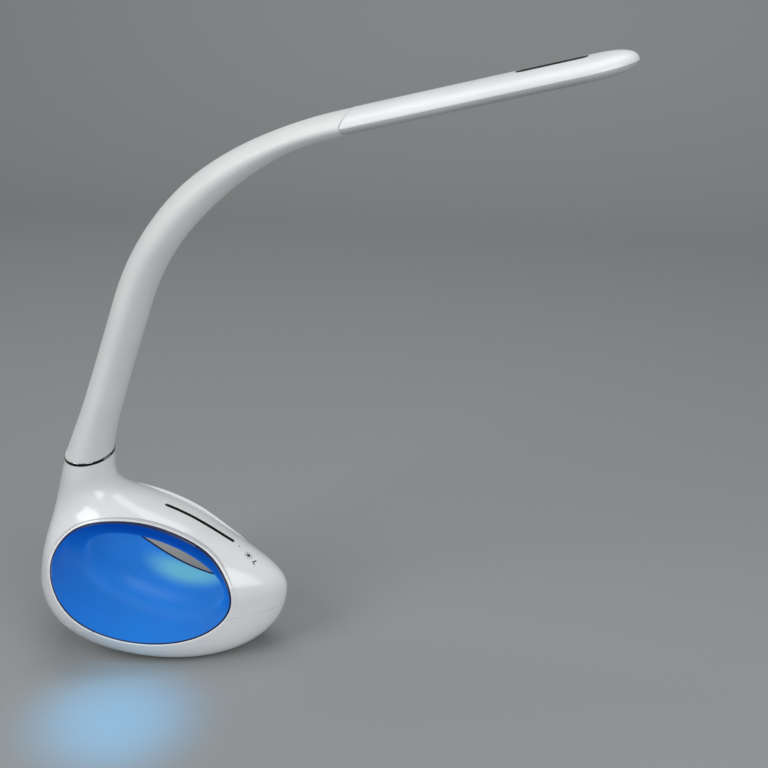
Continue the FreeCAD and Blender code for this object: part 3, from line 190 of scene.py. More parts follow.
def spread(tree, value, low, high):
    """Maps a noise's value to a range."""
    inputs = {"Value": value, "From Min": NOISE_LOW, "From Max": NOISE_HIGH, "To Min": low, "To Max": high}
    return add_node(tree, "MapRange", inputs).outputs["Result"]


def two_tone(tree, value, dark, light):
    """Mixes two colours by a noise's value."""
    ramp = add_node(tree, "ValToRGB", {"Fac": value})
    for stop, position, colour in zip(ramp.color_ramp.elements, TONE_STOPS, (dark, light)):
        stop.position = position
        stop.color = (*colour, 1)
    return ramp.outputs["Color"]


def moulded(name, dark, light, rough, coat=0.0, grain=2500.0, grain_height=0.02, metal=0.0, shine=0.5):
    """Moulded plastic or plain metal: two near colours, uneven gloss and a fine grain."""
    material, tree, shader = new_material(name)
    bump = add_node(tree, "Bump", {"Strength": grain_height, "Distance": GRAIN_DEPTH,
                                   "Height": noise(tree, grain, 2.0)})
    fill(tree, shader, {
        "Base Color": two_tone(tree, noise(tree, 18.0), dark, light),
        "Roughness": spread(tree, noise(tree, 60.0), rough * 0.85, rough * 1.2),
        "Normal": bump.outputs["Normal"], "Metallic": metal, "Specular IOR Level": shine,
        "Coat Weight": coat, "Coat Roughness": 0.06})
    return material


shell_white = moulded("shell_white", (0.78, 0.79, 0.80), (0.83, 0.835, 0.84), 0.22, coat=0.6, grain=900.0)
head_white = moulded("head_white", (0.76, 0.77, 0.785), (0.82, 0.825, 0.835), 0.36, coat=0.1)
sleeve_white = moulded("sleeve_white", (0.73, 0.745, 0.74), (0.78, 0.79, 0.785), 0.46,
                       grain=4000.0, grain_height=0.06)
strip_black = moulded("strip_black", (0.003, 0.003, 0.003), (0.006, 0.006, 0.006), 0.3, shine=0.1)
part_black = moulded("part_black", (0.008, 0.008, 0.009), (0.014, 0.014, 0.015), 0.35)
# The tray's darker grey is partly its own greyer plastic and partly painted shade for the head's underside.
tray_grey_and_shade = moulded("tray_grey_and_shade", (0.40, 0.42, 0.42), (0.46, 0.475, 0.475), 0.34)
mark_grey = moulded("mark_grey", (0.05, 0.05, 0.055), (0.08, 0.08, 0.085), 0.5)
plain_steel = moulded("plain_steel", (0.42, 0.42, 0.43), (0.55, 0.55, 0.56), 0.38, metal=1.0)
board_green = moulded("board_green", (0.012, 0.09, 0.035), (0.02, 0.14, 0.05), 0.42,
                      grain=600.0, grain_height=0.2)
lead_rubber = moulded("lead_rubber", (0.012, 0.012, 0.013), (0.025, 0.025, 0.026), 0.6)
foot_rubber = moulded("foot_rubber", (0.035, 0.035, 0.036), (0.06, 0.06, 0.06), 0.75,
                      grain=1500.0, grain_height=0.3)
led_yellow = moulded("led_yellow", (0.75, 0.62, 0.22), (0.85, 0.75, 0.35), 0.35)
# Dark navy for the painted shade in the thin gap round each window.
gap_shade_navy = moulded("gap_shade_navy", (0.006, 0.012, 0.06), (0.01, 0.02, 0.09), 0.3)

# %% [markdown]
# ## Polished metal with painted reflections
# The ring round the neck is chrome whose reflections are painted into its colour: a dark band of painted
# reflection in the middle and a painted highlight at the edge above and below. The colour of the band is worked
# out from the height, with a few pale streaks of painted glint round it that come from a noise texture.

# %% Material: chrome with a painted dark reflection and painted bright edges
RING_LOW, RING_HIGH = 139.9, 142.5
# The edge silver is a painted highlight, the streak silver painted glints, and the band's greys a painted dark
# reflection.
EDGE_PAINTED_HIGHLIGHT, PAINTED_GLINT_SILVER = (0.75, 0.76, 0.78), (0.55, 0.57, 0.58)
PAINTED_REFLECTION_GREYS = [(0.12, 0.5), (0.22, 0.012), (0.80, 0.012), (0.90, 0.5)]


def chrome_with_painted_reflections():
    """Polished metal with a painted dark reflection in its middle, painted highlights at its edges and a few
    painted glints.
    """
    material, tree, shader = new_material("chrome_with_painted_reflections")
    axes = add_node(tree, "SeparateXYZ", {"Vector": object_place(tree)})
    rise = add_node(tree, "MapRange", {"Value": axes.outputs["Z"],
                                       "From Min": RING_LOW * MM, "From Max": RING_HIGH * MM})
    # Colour by height: painted highlights at the edges, a painted dark reflection in the middle.
    painted_reflection_band = add_node(tree, "ValToRGB", {"Fac": rise.outputs["Result"]})
    stops = painted_reflection_band.color_ramp.elements
    stops[0].color = stops[1].color = (*EDGE_PAINTED_HIGHLIGHT, 1)
    for position, grey in PAINTED_REFLECTION_GREYS:
        stops.new(position).color = (grey, grey, grey, 1)
    # Pale streaks of painted glint, placed by a noise texture.
    painted_glint = add_node(tree, "MapRange", {"Value": noise(tree, 55.0, 1.0), "From Min": 0.60, "From Max": 0.68},
                      interpolation_type="SMOOTHSTEP")
    colour = add_node(tree, "Mix", {"Factor": painted_glint.outputs["Result"], "A": painted_reflection_band.outputs["Color"],
                                    "B": (*PAINTED_GLINT_SILVER, 1)}, data_type="RGBA")
    fill(tree, shader, {"Base Color": colour.outputs["Result"], "Metallic": 1.0,
                        "Roughness": spread(tree, noise(tree, 200.0), 0.07, 0.12)})
    return material


chrome = chrome_with_painted_reflections()

# %% [markdown]
# ## The hull of the base as a formula
# The base is an egg lying on its side with a neck. Each horizontal section is an egg curve that is broader at
# the rear. Three outlines say how far each section reaches to the rear, to the nose and to the sides. Below the
# widest point each is a quarter ellipse. Above it the rear is a power curve, and the nose and the sides are
# smooth curves through a few points. The values at these points, and the powers, weren't chosen by hand: they
# are the result of a least-squares fit to the outline, made by another program. The interpolating curve is
# worked out here once, as a small function.

# %% The hull's sizes and outlines
NECK_TOP, SOLE = RING_LOW, 1.2
NOSE_REACH, NOSE_HEIGHT = 105.0, 46.6
REAR_REACH, REAR_HEIGHT = 71.4, 55.7
SIDE_REACH, SIDE_HEIGHT = 58.75, 49.9
SOLE_FRONT, SOLE_REAR, SOLE_SIDE = 62.5, 14.3, 28.1
NECK_BACK, NECK_LONG, NECK_WIDE = 34.0, 16.2, 22.9
EGG, EGG_POWER, REAR_POWER = 0.544, 2.4, 1.268
CREST_SHAPE = [(0, 1), (0.18, 0.907), (0.34, 0.707), (0.48, 0.529), (0.60, 0.333), (0.72, 0.079), (0.84, 0),
               (1, 0)]
WIDTH_SHAPE = [(0, 1), (0.20, 0.96), (0.40, 0.729), (0.55, 0.289), (0.70, -0.014), (0.85, -0.019), (1, 0)]
BISECTIONS = 30


def spline(points):
    """Cubic curve through (place, value) points, flat at both ends, as a function of place."""
    place = [p for p, _ in points]
    value = [v for _, v in points]
    last = len(points) - 1
    lower, middle, upper, right = ([start] * (last + 1) for start in (0.0, 2.0, 0.0, 0.0))
    for i in range(1, last):
        before, after = place[i] - place[i - 1], place[i + 1] - place[i]
        lower[i], upper[i] = before / (before + after), after / (before + after)
        rise = (value[i + 1] - value[i]) / after - (value[i] - value[i - 1]) / before
        right[i] = 6 * rise / (before + after)
    upper[0] = lower[last] = 1.0
    right[0] = 6 * (value[1] - value[0]) / (place[1] - place[0]) ** 2
    right[last] = -6 * (value[last] - value[last - 1]) / (place[last] - place[last - 1]) ** 2
    for i in range(1, last + 1):
        factor = lower[i] / middle[i - 1]
        middle[i] -= factor * upper[i - 1]
        right[i] -= factor * right[i - 1]
    bend = [right[last] / middle[last]] * (last + 1)
    for i in range(last - 1, -1, -1):
        bend[i] = (right[i] - upper[i] * bend[i + 1]) / middle[i]

    def curve(at):
        at = min(max(at, place[0]), place[last])
        i = min(max(bisect.bisect_right(place, at) - 1, 0), last - 1)
        span = place[i + 1] - place[i]
        a, b = (place[i + 1] - at) / span, (at - place[i]) / span
        return (a * value[i] + b * value[i + 1]
                + ((a ** 3 - a) * bend[i] + (b ** 3 - b) * bend[i + 1]) * span ** 2 / 6)

    return curve


crest_share = spline(CREST_SHAPE)
width_share = spline(WIDTH_SHAPE)


def bowl(z, rim, flat, reach):
    """Reach of the lower bowl at a height: a quarter ellipse from the flat sole to the widest point."""
    return flat + (reach - flat) * math.sqrt(max(1 - ((rim - z) / rim) ** 2, 0.0))


def section(z):
    """Middle, half length, half width and egg share of the hull's section at a height."""
    neck_front, neck_rear = NECK_LONG - NECK_BACK, -NECK_LONG - NECK_BACK
    front = bowl(z, NOSE_HEIGHT, SOLE_FRONT, NOSE_REACH)
    if z > NOSE_HEIGHT:
        climb = (z - NOSE_HEIGHT) / (NECK_TOP - NOSE_HEIGHT)
        front = neck_front + (NOSE_REACH - neck_front) * crest_share(climb)
    rear = -bowl(z, REAR_HEIGHT, SOLE_REAR, REAR_REACH)
    if z > REAR_HEIGHT:
        climb = min((z - REAR_HEIGHT) / (NECK_TOP - REAR_HEIGHT), 1.0)
        rear = -REAR_REACH + (neck_rear + REAR_REACH) * climb ** REAR_POWER
    half = bowl(z, SIDE_HEIGHT, SOLE_SIDE, SIDE_REACH)
    if z > SIDE_HEIGHT:
        climb = (z - SIDE_HEIGHT) / (NECK_TOP - SIDE_HEIGHT)
        half = NECK_WIDE + (SIDE_REACH - NECK_WIDE) * width_share(climb)
    egg = EGG * min(max((half - NECK_WIDE) / (SIDE_REACH - NECK_WIDE), 0.0), 1.0) ** EGG_POWER
    return (rear + front) / 2, (front - rear) / 2, half, egg


def hull_point(turn, z):
    """Point of the hull at a height, turn running from 0 at the nose to pi at the rear."""
    middle, length, half, egg = section(z)
    return Vector((middle + length * math.cos(turn), half * math.sin(turn) * (1 - egg * math.cos(turn)), z))


def hull_turn(x, z):
    """The turn at which the hull has this x at this height."""
    middle, length, _, _ = section(z)
    return math.acos(min(max((x - middle) / length, -1.0), 1.0))


def hull_side(x, z):
    """Distance of the hull's surface from the middle plane."""
    return hull_point(hull_turn(x, z), z).y


def hull_top(x, y):
    """Height of the hull's upper surface over a place."""
    low, high = NOSE_HEIGHT, NECK_TOP
    for _ in range(BISECTIONS):
        z = (low + high) / 2
        middle, length, _, _ = section(z)
        if x < middle + length and hull_side(x, z) > abs(y):
            low = z
        else:
            high = z
    return low


# %% [markdown]
# ## The window in the hull
# The tunnel opens on each side in a tilted oval that runs straight through along Y. To get faces that flow
# round the window, the half hull is seen as a rectangle: one direction is the turn round the section, the other
# the way up. The window is a closed curve in that rectangle. Rings of vertices then run from the window out to
# the rectangle's edge, and each ring is an extrusion of the last one. The first rings make the rounded edge
# that leads into the tunnel.

# %% Window curve and the map from the rectangle's edge to it
WINDOW_X, WINDOW_Z, WINDOW_LONG, WINDOW_HIGH, WINDOW_TILT = 11.5, 62.1, 63.2, 36.8, math.radians(19.1)
WAIST_X, WAIST_Z, WAIST_LONG, WAIST_HIGH, WAIST_TILT = 7.2, 48.7, 53.2, 26.4, math.radians(17.0)
WAIST_DEPTH = 22.0
BOWL_SHARE = 0.43
SIDE_COUNT, END_COUNT = 64, 44
COLUMNS = 2 * (SIDE_COUNT + END_COUNT)


def oval_point(angle, x, z, long, high, tilt):
    """Point (x, z) of a tilted oval."""
    across, up = long * math.cos(angle), high * math.sin(angle)
    return (x + across * math.cos(tilt) + up * math.sin(tilt),
            z - across * math.sin(tilt) + up * math.cos(tilt))


def window_point(angle, grow=0.0):
    """Point (x, z) of the window's edge, grown by a margin."""
    return oval_point(angle, WINDOW_X, WINDOW_Z, WINDOW_LONG + grow, WINDOW_HIGH + grow, WINDOW_TILT)


def height_at(way):
    """Height at a way up from 0 to 1, with more rows in the bowl, where the surface turns level."""
    if way < BOWL_SHARE:
        return SOLE + (NOSE_HEIGHT - SOLE) * (1 - math.cos(math.pi / 2 * way / BOWL_SHARE))
    return NOSE_HEIGHT + (NECK_TOP - NOSE_HEIGHT) * (way - BOWL_SHARE) / (1 - BOWL_SHARE)


def way_at(z):
    """The way up that belongs to a height."""
    if z < NOSE_HEIGHT:
        return BOWL_SHARE * math.acos(1 - (z - SOLE) / (NOSE_HEIGHT - SOLE)) / (math.pi / 2)
    return BOWL_SHARE + (1 - BOWL_SHARE) * (z - NOSE_HEIGHT) / (NECK_TOP - NOSE_HEIGHT)


def flat_place(x, z):
    """A point of the hull's side as a place in the rectangle: turn from 0 to 1, and the way up."""
    return hull_turn(x, z) / math.pi, way_at(z)


def border_place(number):
    """Place on the rectangle's border: up the nose, back over the neck, down the rear, on under the sole."""
    if number < SIDE_COUNT:
        return 0.0, number / SIDE_COUNT
    number -= SIDE_COUNT
    if number < END_COUNT:
        return number / END_COUNT, 1.0
    number -= END_COUNT
    if number < SIDE_COUNT:
        return 1.0, 1 - number / SIDE_COUNT
    return 1 - (number - SIDE_COUNT) / END_COUNT, 0.0


EDGE_ROUND, RIM_SAMPLES = 1.1, 1440
rim_middle = flat_place(WINDOW_X, WINDOW_Z)


def bearing(place):
    """Direction of a place in the rectangle from the window's middle, from 0 to a full turn."""
    return math.atan2(place[1] - rim_middle[1], place[0] - rim_middle[0]) % (2 * math.pi)


rim_angles = [2 * math.pi * i / RIM_SAMPLES for i in range(RIM_SAMPLES)]
rim_samples = sorted((bearing(flat_place(*window_point(angle, EDGE_ROUND))), angle) for angle in rim_angles)


def window_angle(number):
    """Angle on the window's oval that faces a place on the border."""
    wanted = bearing(border_place(number))
    at = bisect.bisect_left(rim_samples, (wanted,)) % RIM_SAMPLES
    (b0, a0), (b1, a1) = rim_samples[at - 1], rim_samples[at]
    share = ((wanted - b0) % (2 * math.pi)) / max((b1 - b0) % (2 * math.pi), 1e-9)
    step = (a1 - a0 + math.pi) % (2 * math.pi) - math.pi
    return a0 + step * share


angles = [window_angle(number) for number in range(COLUMNS)]
print("window columns", COLUMNS)

# %% Build the skin of the base
ROWS, ROW_POWER = 34, 1.15
ROUND_STEPS = 6
RIM_GROW, RIM_DRAFT = 0.2, 0.05
RIM_STEP, RIM_DEPTH = 0.3, 3.0


def rim_place(grow, sink):
    """Ring round the window: grown by a margin and sunk below the hull's surface."""
    def place(number):
        x, z = window_point(angles[number], grow)
        return Vector((x, hull_side(x, z) - sink, z))
    return place


def row_place(share):
    """Ring between the window and the rectangle's border."""
    def place(number):
        inner = flat_place(*window_point(angles[number], EDGE_ROUND))
        outer = border_place(number)
        turn = (inner[0] + (outer[0] - inner[0]) * share) * math.pi
        return hull_point(turn, height_at(inner[1] + (outer[1] - inner[1]) * share))
    return place


def base_skin():
    """The whole skin of the base, both sides, open at the neck, the sole and the windows."""
    bm = bmesh.new()
    ring = start_ring(bm, COLUMNS, rim_place(RIM_GROW + RIM_DRAFT, RIM_DEPTH))
    ring = grow_ring(bm, ring, rim_place(RIM_GROW, EDGE_ROUND + RIM_STEP))
    for step in range(ROUND_STEPS):
        lean = math.pi / 2 * step / ROUND_STEPS
        ring = grow_ring(bm, ring, rim_place(RIM_GROW + (EDGE_ROUND - RIM_GROW) * (1 - math.cos(lean)),
                                             EDGE_ROUND * (1 - math.sin(lean))))
    for step in range(ROWS + 1):
        ring = grow_ring(bm, ring, row_place((step / ROWS) ** ROW_POWER))
    bmesh.ops.mirror(bm, geom=all_of(bm), axis="Y", merge_dist=WELD)
    bmesh.ops.remove_doubles(bm, verts=bm.verts, dist=WELD)
    return bm


# %% [markdown]
# ## Two shells with a parting line
# The real base is moulded as an upper and a lower shell that meet in a level plane. The skin is cut there
# twice, once for each shell, with a bisect that clears the other side. Each cut edge is then turned inwards with
# one small chamfer, so that a fine dark line shows where the shells meet. Behind it runs a flange, which stops
# short of the window. The lower shell also gets its flat sole.

# %% Build the two shells
SEAM, SEAM_GAP, CHAMFER = 34.1, 0.12, 0.15
FLANGE_CENTRE, FLANGE_WIDE, FLANGE_MARGIN = 15.0, 2.0, 4.5
NECK_LIP = 3.0


def open_edges(bm, height, reach=0.5):
    """Border edges of a skin close to a height."""
    return [e for e in bm.edges if e.is_boundary and all(abs(v.co.z - height) <= reach for v in e.verts)]


def inward_rim(bm, edges, centre, depth, rise):
    """Extrudes a rim towards a centre line, by the same depth all round, and moves it up by a rise."""
    fresh, rim = extrude(bm, edges)
    for vert in fresh:
        away = Vector((vert.co.x - centre, vert.co.y, 0))
        vert.co -= away.normalized() * depth
        vert.co.z += rise
    return rim


def far_from_window(edge):
    """Whether an edge keeps the flange's margin from the window's oval."""
    middle = (edge.verts[0].co + edge.verts[1].co) / 2
    x, z = middle.x - WINDOW_X, middle.z - WINDOW_Z
    along = x * math.cos(WINDOW_TILT) - z * math.sin(WINDOW_TILT)
    up = x * math.sin(WINDOW_TILT) + z * math.cos(WINDOW_TILT)
    return math.hypot(along / (WINDOW_LONG + FLANGE_MARGIN), up / (WINDOW_HIGH + FLANGE_MARGIN)) > 1


def half_skin(upper):
    """The base's skin above or below the parting plane."""
    bm = base_skin()
    side = 1 if upper else -1
    bmesh.ops.bisect_plane(bm, geom=all_of(bm), dist=CUT_REACH, plane_no=(0, 0, side), clear_inner=True,
                           plane_co=(0, 0, SEAM + side * (SEAM_GAP + CHAMFER)))
    cut = inward_rim(bm, open_edges(bm, SEAM, 1.0), FLANGE_CENTRE, CHAMFER, -side * CHAMFER)
    inward_rim(bm, [edge for edge in cut if far_from_window(edge)], FLANGE_CENTRE, FLANGE_WIDE, 0.0)
    return bm


upper_bm = half_skin(True)
inward_rim(upper_bm, open_edges(upper_bm, NECK_TOP), -NECK_BACK, NECK_LIP, 0.0)
upper_skin = skin(upper_bm, "upper_shell_skin", shell_white)
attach(upper_skin, "base")
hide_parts("base_upper_shell")

lower_bm = half_skin(False)
bmesh.ops.contextual_create(lower_bm, geom=open_edges(lower_bm, SOLE))
lower_skin = skin(lower_bm, "lower_shell_skin", shell_white)
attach(lower_skin, "base")
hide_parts("base_lower_shell")

# %% [markdown]
# ## Holes in the lower shell
# The lower shell has a round hole for the power jack at the rear, three screw holes and five shallow seats for
# the feet. Cylinders cut them with a Boolean: they are joined in one bmesh, and the cutter is taken away again
# once the shape has been written to the skin's mesh. The skin gets its wall first, so that the holes show it.

# %% Cut the holes of the lower shell
SHELL_WALL = 2.2
JACK_HEIGHT, JACK_HOLE, JACK_MIDDLE, JACK_ROD = 26.0, 4.75, -75.0, 30.0
SCREW_HOLE, SCREW_UNDER, SCREW_ROD = 2.95, 6.0, 40.0
FOOT_HOLE, FOOT_DEPTH, FOOT_ROD = 7.15, 2.4, 10.0
FEET = [(0.0, 0.0), (54.0, 17.0), (54.0, -17.0), (-12.0, 17.0), (-12.0, -17.0)]
SHELL_SCREWS = [(84.0, 0.0), (-58.0, 13.0), (-58.0, -13.0)]


def add_rod(bm, radius, length, place, turn=0.0):
    """Adds a closed round rod to a bmesh, upright unless it is turned about Y."""
    bmesh.ops.create_cone(bm, cap_ends=True, segments=48, radius1=radius, radius2=radius, depth=length,
                          matrix=Matrix.Translation(place) @ Matrix.Rotation(turn, 4, "Y"))


cutter_bm = bmesh.new()
add_rod(cutter_bm, JACK_HOLE, JACK_ROD, (JACK_MIDDLE, 0, JACK_HEIGHT), math.pi / 2)
for x, y in SHELL_SCREWS:
    add_rod(cutter_bm, SCREW_HOLE, SCREW_ROD, (x, y, SEAM - SCREW_UNDER - SCREW_ROD / 2))
for x, y in FEET:
    add_rod(cutter_bm, FOOT_HOLE, FOOT_ROD, (x, y, FOOT_DEPTH - FOOT_ROD / 2))
cutter = skin(cutter_bm, "hole_cutter", shell_white)
thicken(lower_skin, SHELL_WALL)
hole = lower_skin.modifiers.new("holes", "BOOLEAN")
hole.object = cutter
hole.solver = "EXACT"
bpy.context.view_layer.update()
with_holes = lower_skin.evaluated_get(bpy.context.evaluated_depsgraph_get())
cut_mesh = bpy.data.meshes.new_from_object(with_holes)
lower_skin.modifiers.clear()
lower_skin.data = cut_mesh
cut_mesh.set_sharp_from_angle(angle=math.radians(SHARP_ANGLE))
bpy.data.objects.remove(cutter)
thicken(upper_skin, SHELL_WALL)
print("lower shell with holes", len(cut_mesh.polygons), "faces")

# %% [markdown]
# ## Blue light in plastic
# The tunnel is lined with a clear, deep blue moulding that is lit from behind by a band of LEDs round its
# waist. It glows by itself, and painted light is mixed into the glow: painted shade darkens it from the floor
# towards the roof, and a paler spot on the floor of the far half is a painted reflection of the bright
# surroundings. The colour is worked out from the height and from the distance to the spot, both in Object
# coordinates, so that it looks the same from every side. It goes to the emission in full, and to the base colour
# much darker.

# %% Material: glowing liner
# The roof blue is painted shade, and the spot blue a painted reflection of the bright surroundings on the far
# floor.
ROOF_SHADE_BLUE, FLOOR_BLUE, REFLECTION_SPOT_BLUE = (0.0, 0.034, 0.27), (0.012, 0.165, 0.58), (0.10, 0.36, 0.52)
CLIMB, LOWEST, HIGHEST = (0.2, 0.0, 1.0), 0.022, 0.086
REFLECTION_SPOT_PLACE, REFLECTION_SPOT_SQUEEZE = Vector((8.0, 45.0, 24.0)) * MM, (0.5, 1.0, 1.0)
REFLECTION_SPOT_CORE, REFLECTION_SPOT_EDGE = 0.004, 0.024
UNLIT_SHARE = 0.2


def glowing_liner():
    """Blue plastic lit from behind, with painted shade towards the roof and a spot of painted reflection."""
    material, tree, shader = new_material("glowing_liner")
    place = object_place(tree)
    climb = add_node(tree, "VectorMath", {0: place, 1: CLIMB}, operation="DOT_PRODUCT")
    rise = add_node(tree, "MapRange", {"Value": climb.outputs["Value"], "From Min": LOWEST, "From Max": HIGHEST})
    # Painted shade: the glow darkens from the floor to the roof.
    depth = add_node(tree, "Mix", {"Factor": rise.outputs["Result"], "A": (*FLOOR_BLUE, 1),
                                   "B": (*ROOF_SHADE_BLUE, 1)}, data_type="RGBA")
    # A paler spot of painted reflection on the floor of the tunnel's far half.
    squeeze = add_node(tree, "VectorMath", {0: place, 1: REFLECTION_SPOT_SQUEEZE}, operation="MULTIPLY")
    away = add_node(tree, "VectorMath", {0: squeeze.outputs["Vector"], 1: REFLECTION_SPOT_PLACE}, operation="DISTANCE")
    reflection_share = add_node(tree, "MapRange", {"Value": away.outputs["Value"], "From Min": REFLECTION_SPOT_CORE,
                                       "From Max": REFLECTION_SPOT_EDGE, "To Min": 1.0, "To Max": 0.0},
                    interpolation_type="SMOOTHSTEP")
    glow = add_node(tree, "Mix", {"Factor": reflection_share.outputs["Result"], "A": depth.outputs["Result"],
                                  "B": (*REFLECTION_SPOT_BLUE, 1)}, data_type="RGBA")
    cloud = add_node(tree, "HueSaturation", {"Value": spread(tree, noise(tree, 30.0, 2.0), 0.94, 1.06),
                                             "Color": glow.outputs["Result"]})
    unlit = add_node(tree, "HueSaturation", {"Value": UNLIT_SHARE, "Color": cloud.outputs["Color"]})
    fill(tree, shader, {
        "Base Color": unlit.outputs["Color"], "Emission Color": cloud.outputs["Color"],
        "Emission Strength": 1.0, "Roughness": spread(tree, noise(tree, 45.0), 0.30, 0.38),
        "Specular IOR Level": 0.25, "Coat Weight": 0.1, "Coat Roughness": 0.08})
    return material


liner_blue = glowing_liner()

# %% [markdown]
# ## The tunnel's liner
# The liner is a tube along Y that narrows to a waist in the middle, so that light spreads over a broad funnel
# on each side. It is one ring of vertices, extruded from one window through the waist to the other. Each column
# ends a little below the hull's surface, wherever the hull is at that place, in a lip behind the window's edge.

# %% Build the liner
LINER_COLUMNS, LINER_ROWS = 176, 60
LINER_SINK = 1.0
LIP_GROW, LIP_TOP, LIP_FOOT = 2.0, 0.1, 2.0


def tunnel_point(angle, depth):
    """Point of the tunnel's wall at an angle and a distance from the middle plane."""
    pinch = math.cos(math.pi / 2 * min(abs(depth) / WAIST_DEPTH, 1.0)) ** 2

    def mix(window, waist):
        return window + (waist - window) * pinch

    x, z = oval_point(angle, mix(WINDOW_X, WAIST_X), mix(WINDOW_Z, WAIST_Z), mix(WINDOW_LONG, WAIST_LONG),
                      mix(WINDOW_HIGH, WAIST_HIGH), mix(WINDOW_TILT, WAIST_TILT))
    return Vector((x, depth, z))


def liner_place(share):
    """Ring of the liner, share running from -1 at one window to 1 at the other."""
    def place(number):
        angle = 2 * math.pi * number / LINER_COLUMNS
        x, z = window_point(angle)
        return tunnel_point(angle, (hull_side(x, z) - LINER_SINK) * share)
    return place


def edge_place(side, grow, sink):
    """Ring round a window on one side, grown by a margin and sunk below the hull's surface."""
    def place(number):
        x, z = window_point(2 * math.pi * number / LINER_COLUMNS, grow)
        return Vector((x, side * (hull_side(x, z) - sink), z))
    return place


liner_bm = bmesh.new()
ring = start_ring(liner_bm, LINER_COLUMNS, edge_place(-1, LIP_GROW, LINER_SINK + LIP_FOOT))
ring = grow_ring(liner_bm, ring, edge_place(-1, LIP_GROW, LINER_SINK + LIP_TOP))
for step in range(LINER_ROWS + 1):
    ring = grow_ring(liner_bm, ring, liner_place(-1 + 2 * step / LINER_ROWS))
ring = grow_ring(liner_bm, ring, edge_place(1, LIP_GROW, LINER_SINK + LIP_TOP))
ring = grow_ring(liner_bm, ring, edge_place(1, LIP_GROW, LINER_SINK + LIP_FOOT))
liner_skin = skin(liner_bm, "tunnel_liner_skin", liner_blue, sharp=50)
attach(liner_skin, "base")
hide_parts("glow_tunnel")

# %% [markdown]
# ## Painted shade in the window's edge
# Between the white edge and the liner lies a thin gap in shade. A thin dark navy ring of painted shade stands
# for it and draws the window's outline. It is a narrow ring on each side, extruded along a small profile of
# margins and depths.

# %% Build the rings of painted gap shade
SHADE_RING_PROFILE = [(0.15, 0.75), (-0.9, 0.85), (-1.05, 1.1), (-0.9, 1.4), (0.15, 1.45)]
for name, side in (("window_gap_shade_right", -1), ("window_gap_shade_left", 1)):
    shade_ring_bm = bmesh.new()
    first = ring = start_ring(shade_ring_bm, LINER_COLUMNS, edge_place(side, *SHADE_RING_PROFILE[0]))
    for grow, sink in SHADE_RING_PROFILE[1:]:
        ring = grow_ring(shade_ring_bm, ring, edge_place(side, grow, sink))
    bmesh.ops.bridge_loops(shade_ring_bm, edges=first + ring)
    # A dark ring of painted shade where the gap between the white edge and the liner lies in shade.
    shade_ring = skin(shade_ring_bm, name, gap_shade_navy, sharp=60)
    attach(shade_ring, "base")

# %% [markdown]
# ## The chrome ring
# The neck ends in a polished ring on which the arm's sleeve sits. Its profile is a soft band: the ring of
# vertices follows the neck's oval and is extruded up, over and back down, then bridged to where it began.

# %% Build the chrome ring
RING_COLUMNS, RING_DEPTH = 128, -3.6
RING_PROFILE = [(RING_DEPTH, RING_LOW), (0.0, RING_LOW), (0.25, 140.15), (0.3, 140.6), (0.3, 141.8),
                (0.22, 142.2), (0.0, 142.4), (-0.5, RING_HIGH), (RING_DEPTH, RING_HIGH)]


def neck_place(out, z):
    """Ring on the neck's oval, moved out by a distance."""
    def place(number):
        angle = 2 * math.pi * number / RING_COLUMNS
        x = -NECK_BACK + (NECK_LONG + out) * math.cos(angle)
        return Vector((x, (NECK_WIDE + out) * math.sin(angle), z))
    return place


ring_bm = bmesh.new()
first = ring = start_ring(ring_bm, RING_COLUMNS, neck_place(*RING_PROFILE[0]))
for out, z in RING_PROFILE[1:]:
    ring = grow_ring(ring_bm, ring, neck_place(out, z))
bmesh.ops.bridge_loops(ring_bm, edges=first + ring)
ring_skin = skin(ring_bm, "neck_ring_skin", chrome, sharp=60)
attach(ring_skin, "base")
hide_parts("neck_ring")

# %% [markdown]
# ## The arm's line and section
# The arm is a flat oval tube of soft silicone. Its middle line is a straight foot, two arcs and a short straight
# end. Its section flares where it meets the ring and thins towards the head. A section is level at the ring and
# turns square to the line over the first few centimetres.

# %% The arm as formulas
ARM_LEAN, HEAD_SLOPE, UPPER_TURN = math.radians(70.2), math.radians(13.9), math.radians(27.5)
LOWER_TURN = ARM_LEAN - HEAD_SLOPE - UPPER_TURN
STRAIGHT_RUN, LOWER_BEND, UPPER_BEND, TAIL_RUN = 120.5, 180.0, 212.0, 11.0
UPPER_START = STRAIGHT_RUN + LOWER_BEND * LOWER_TURN
TAIL_START = UPPER_START + UPPER_BEND * UPPER_TURN
ARM_LENGTH = TAIL_START + TAIL_RUN
ARM_WIDE, ROOT_HALF, MID_HALF, TIP_HALF = 21.8, 16.0, 11.7, 7.2
FLARE, LEVEL_RUN = 18.0, 25.2
THIN_FROM, THIN_LENGTH = 195.0, 105.0


def ease(share):
    """Smooth step from 0 to 1."""
    share = min(max(share, 0.0), 1.0)
    return share * share * (3 - 2 * share)


def bent(x, z, heading, radius, length):
    """End of an arc that turns downwards, and the heading there."""
    turned = heading - length / radius
    return (x + radius * (math.sin(heading) - math.sin(turned)),
            z + radius * (math.cos(turned) - math.cos(heading)), turned)


def arm_at(place):
    """Point (x, z) of the arm's line at a place along it, and its heading."""
    run = min(place, STRAIGHT_RUN)
    x, z, heading = -NECK_BACK + run * math.cos(ARM_LEAN), RING_HIGH + run * math.sin(ARM_LEAN), ARM_LEAN
    if place > STRAIGHT_RUN:
        x, z, heading = bent(x, z, heading, LOWER_BEND, min(place, UPPER_START) - STRAIGHT_RUN)
    if place > UPPER_START:
        x, z, heading = bent(x, z, heading, UPPER_BEND, min(place, TAIL_START) - UPPER_START)
    rest = max(place - TAIL_START, 0.0)
    return x + rest * math.cos(heading), z + rest * math.sin(heading), heading


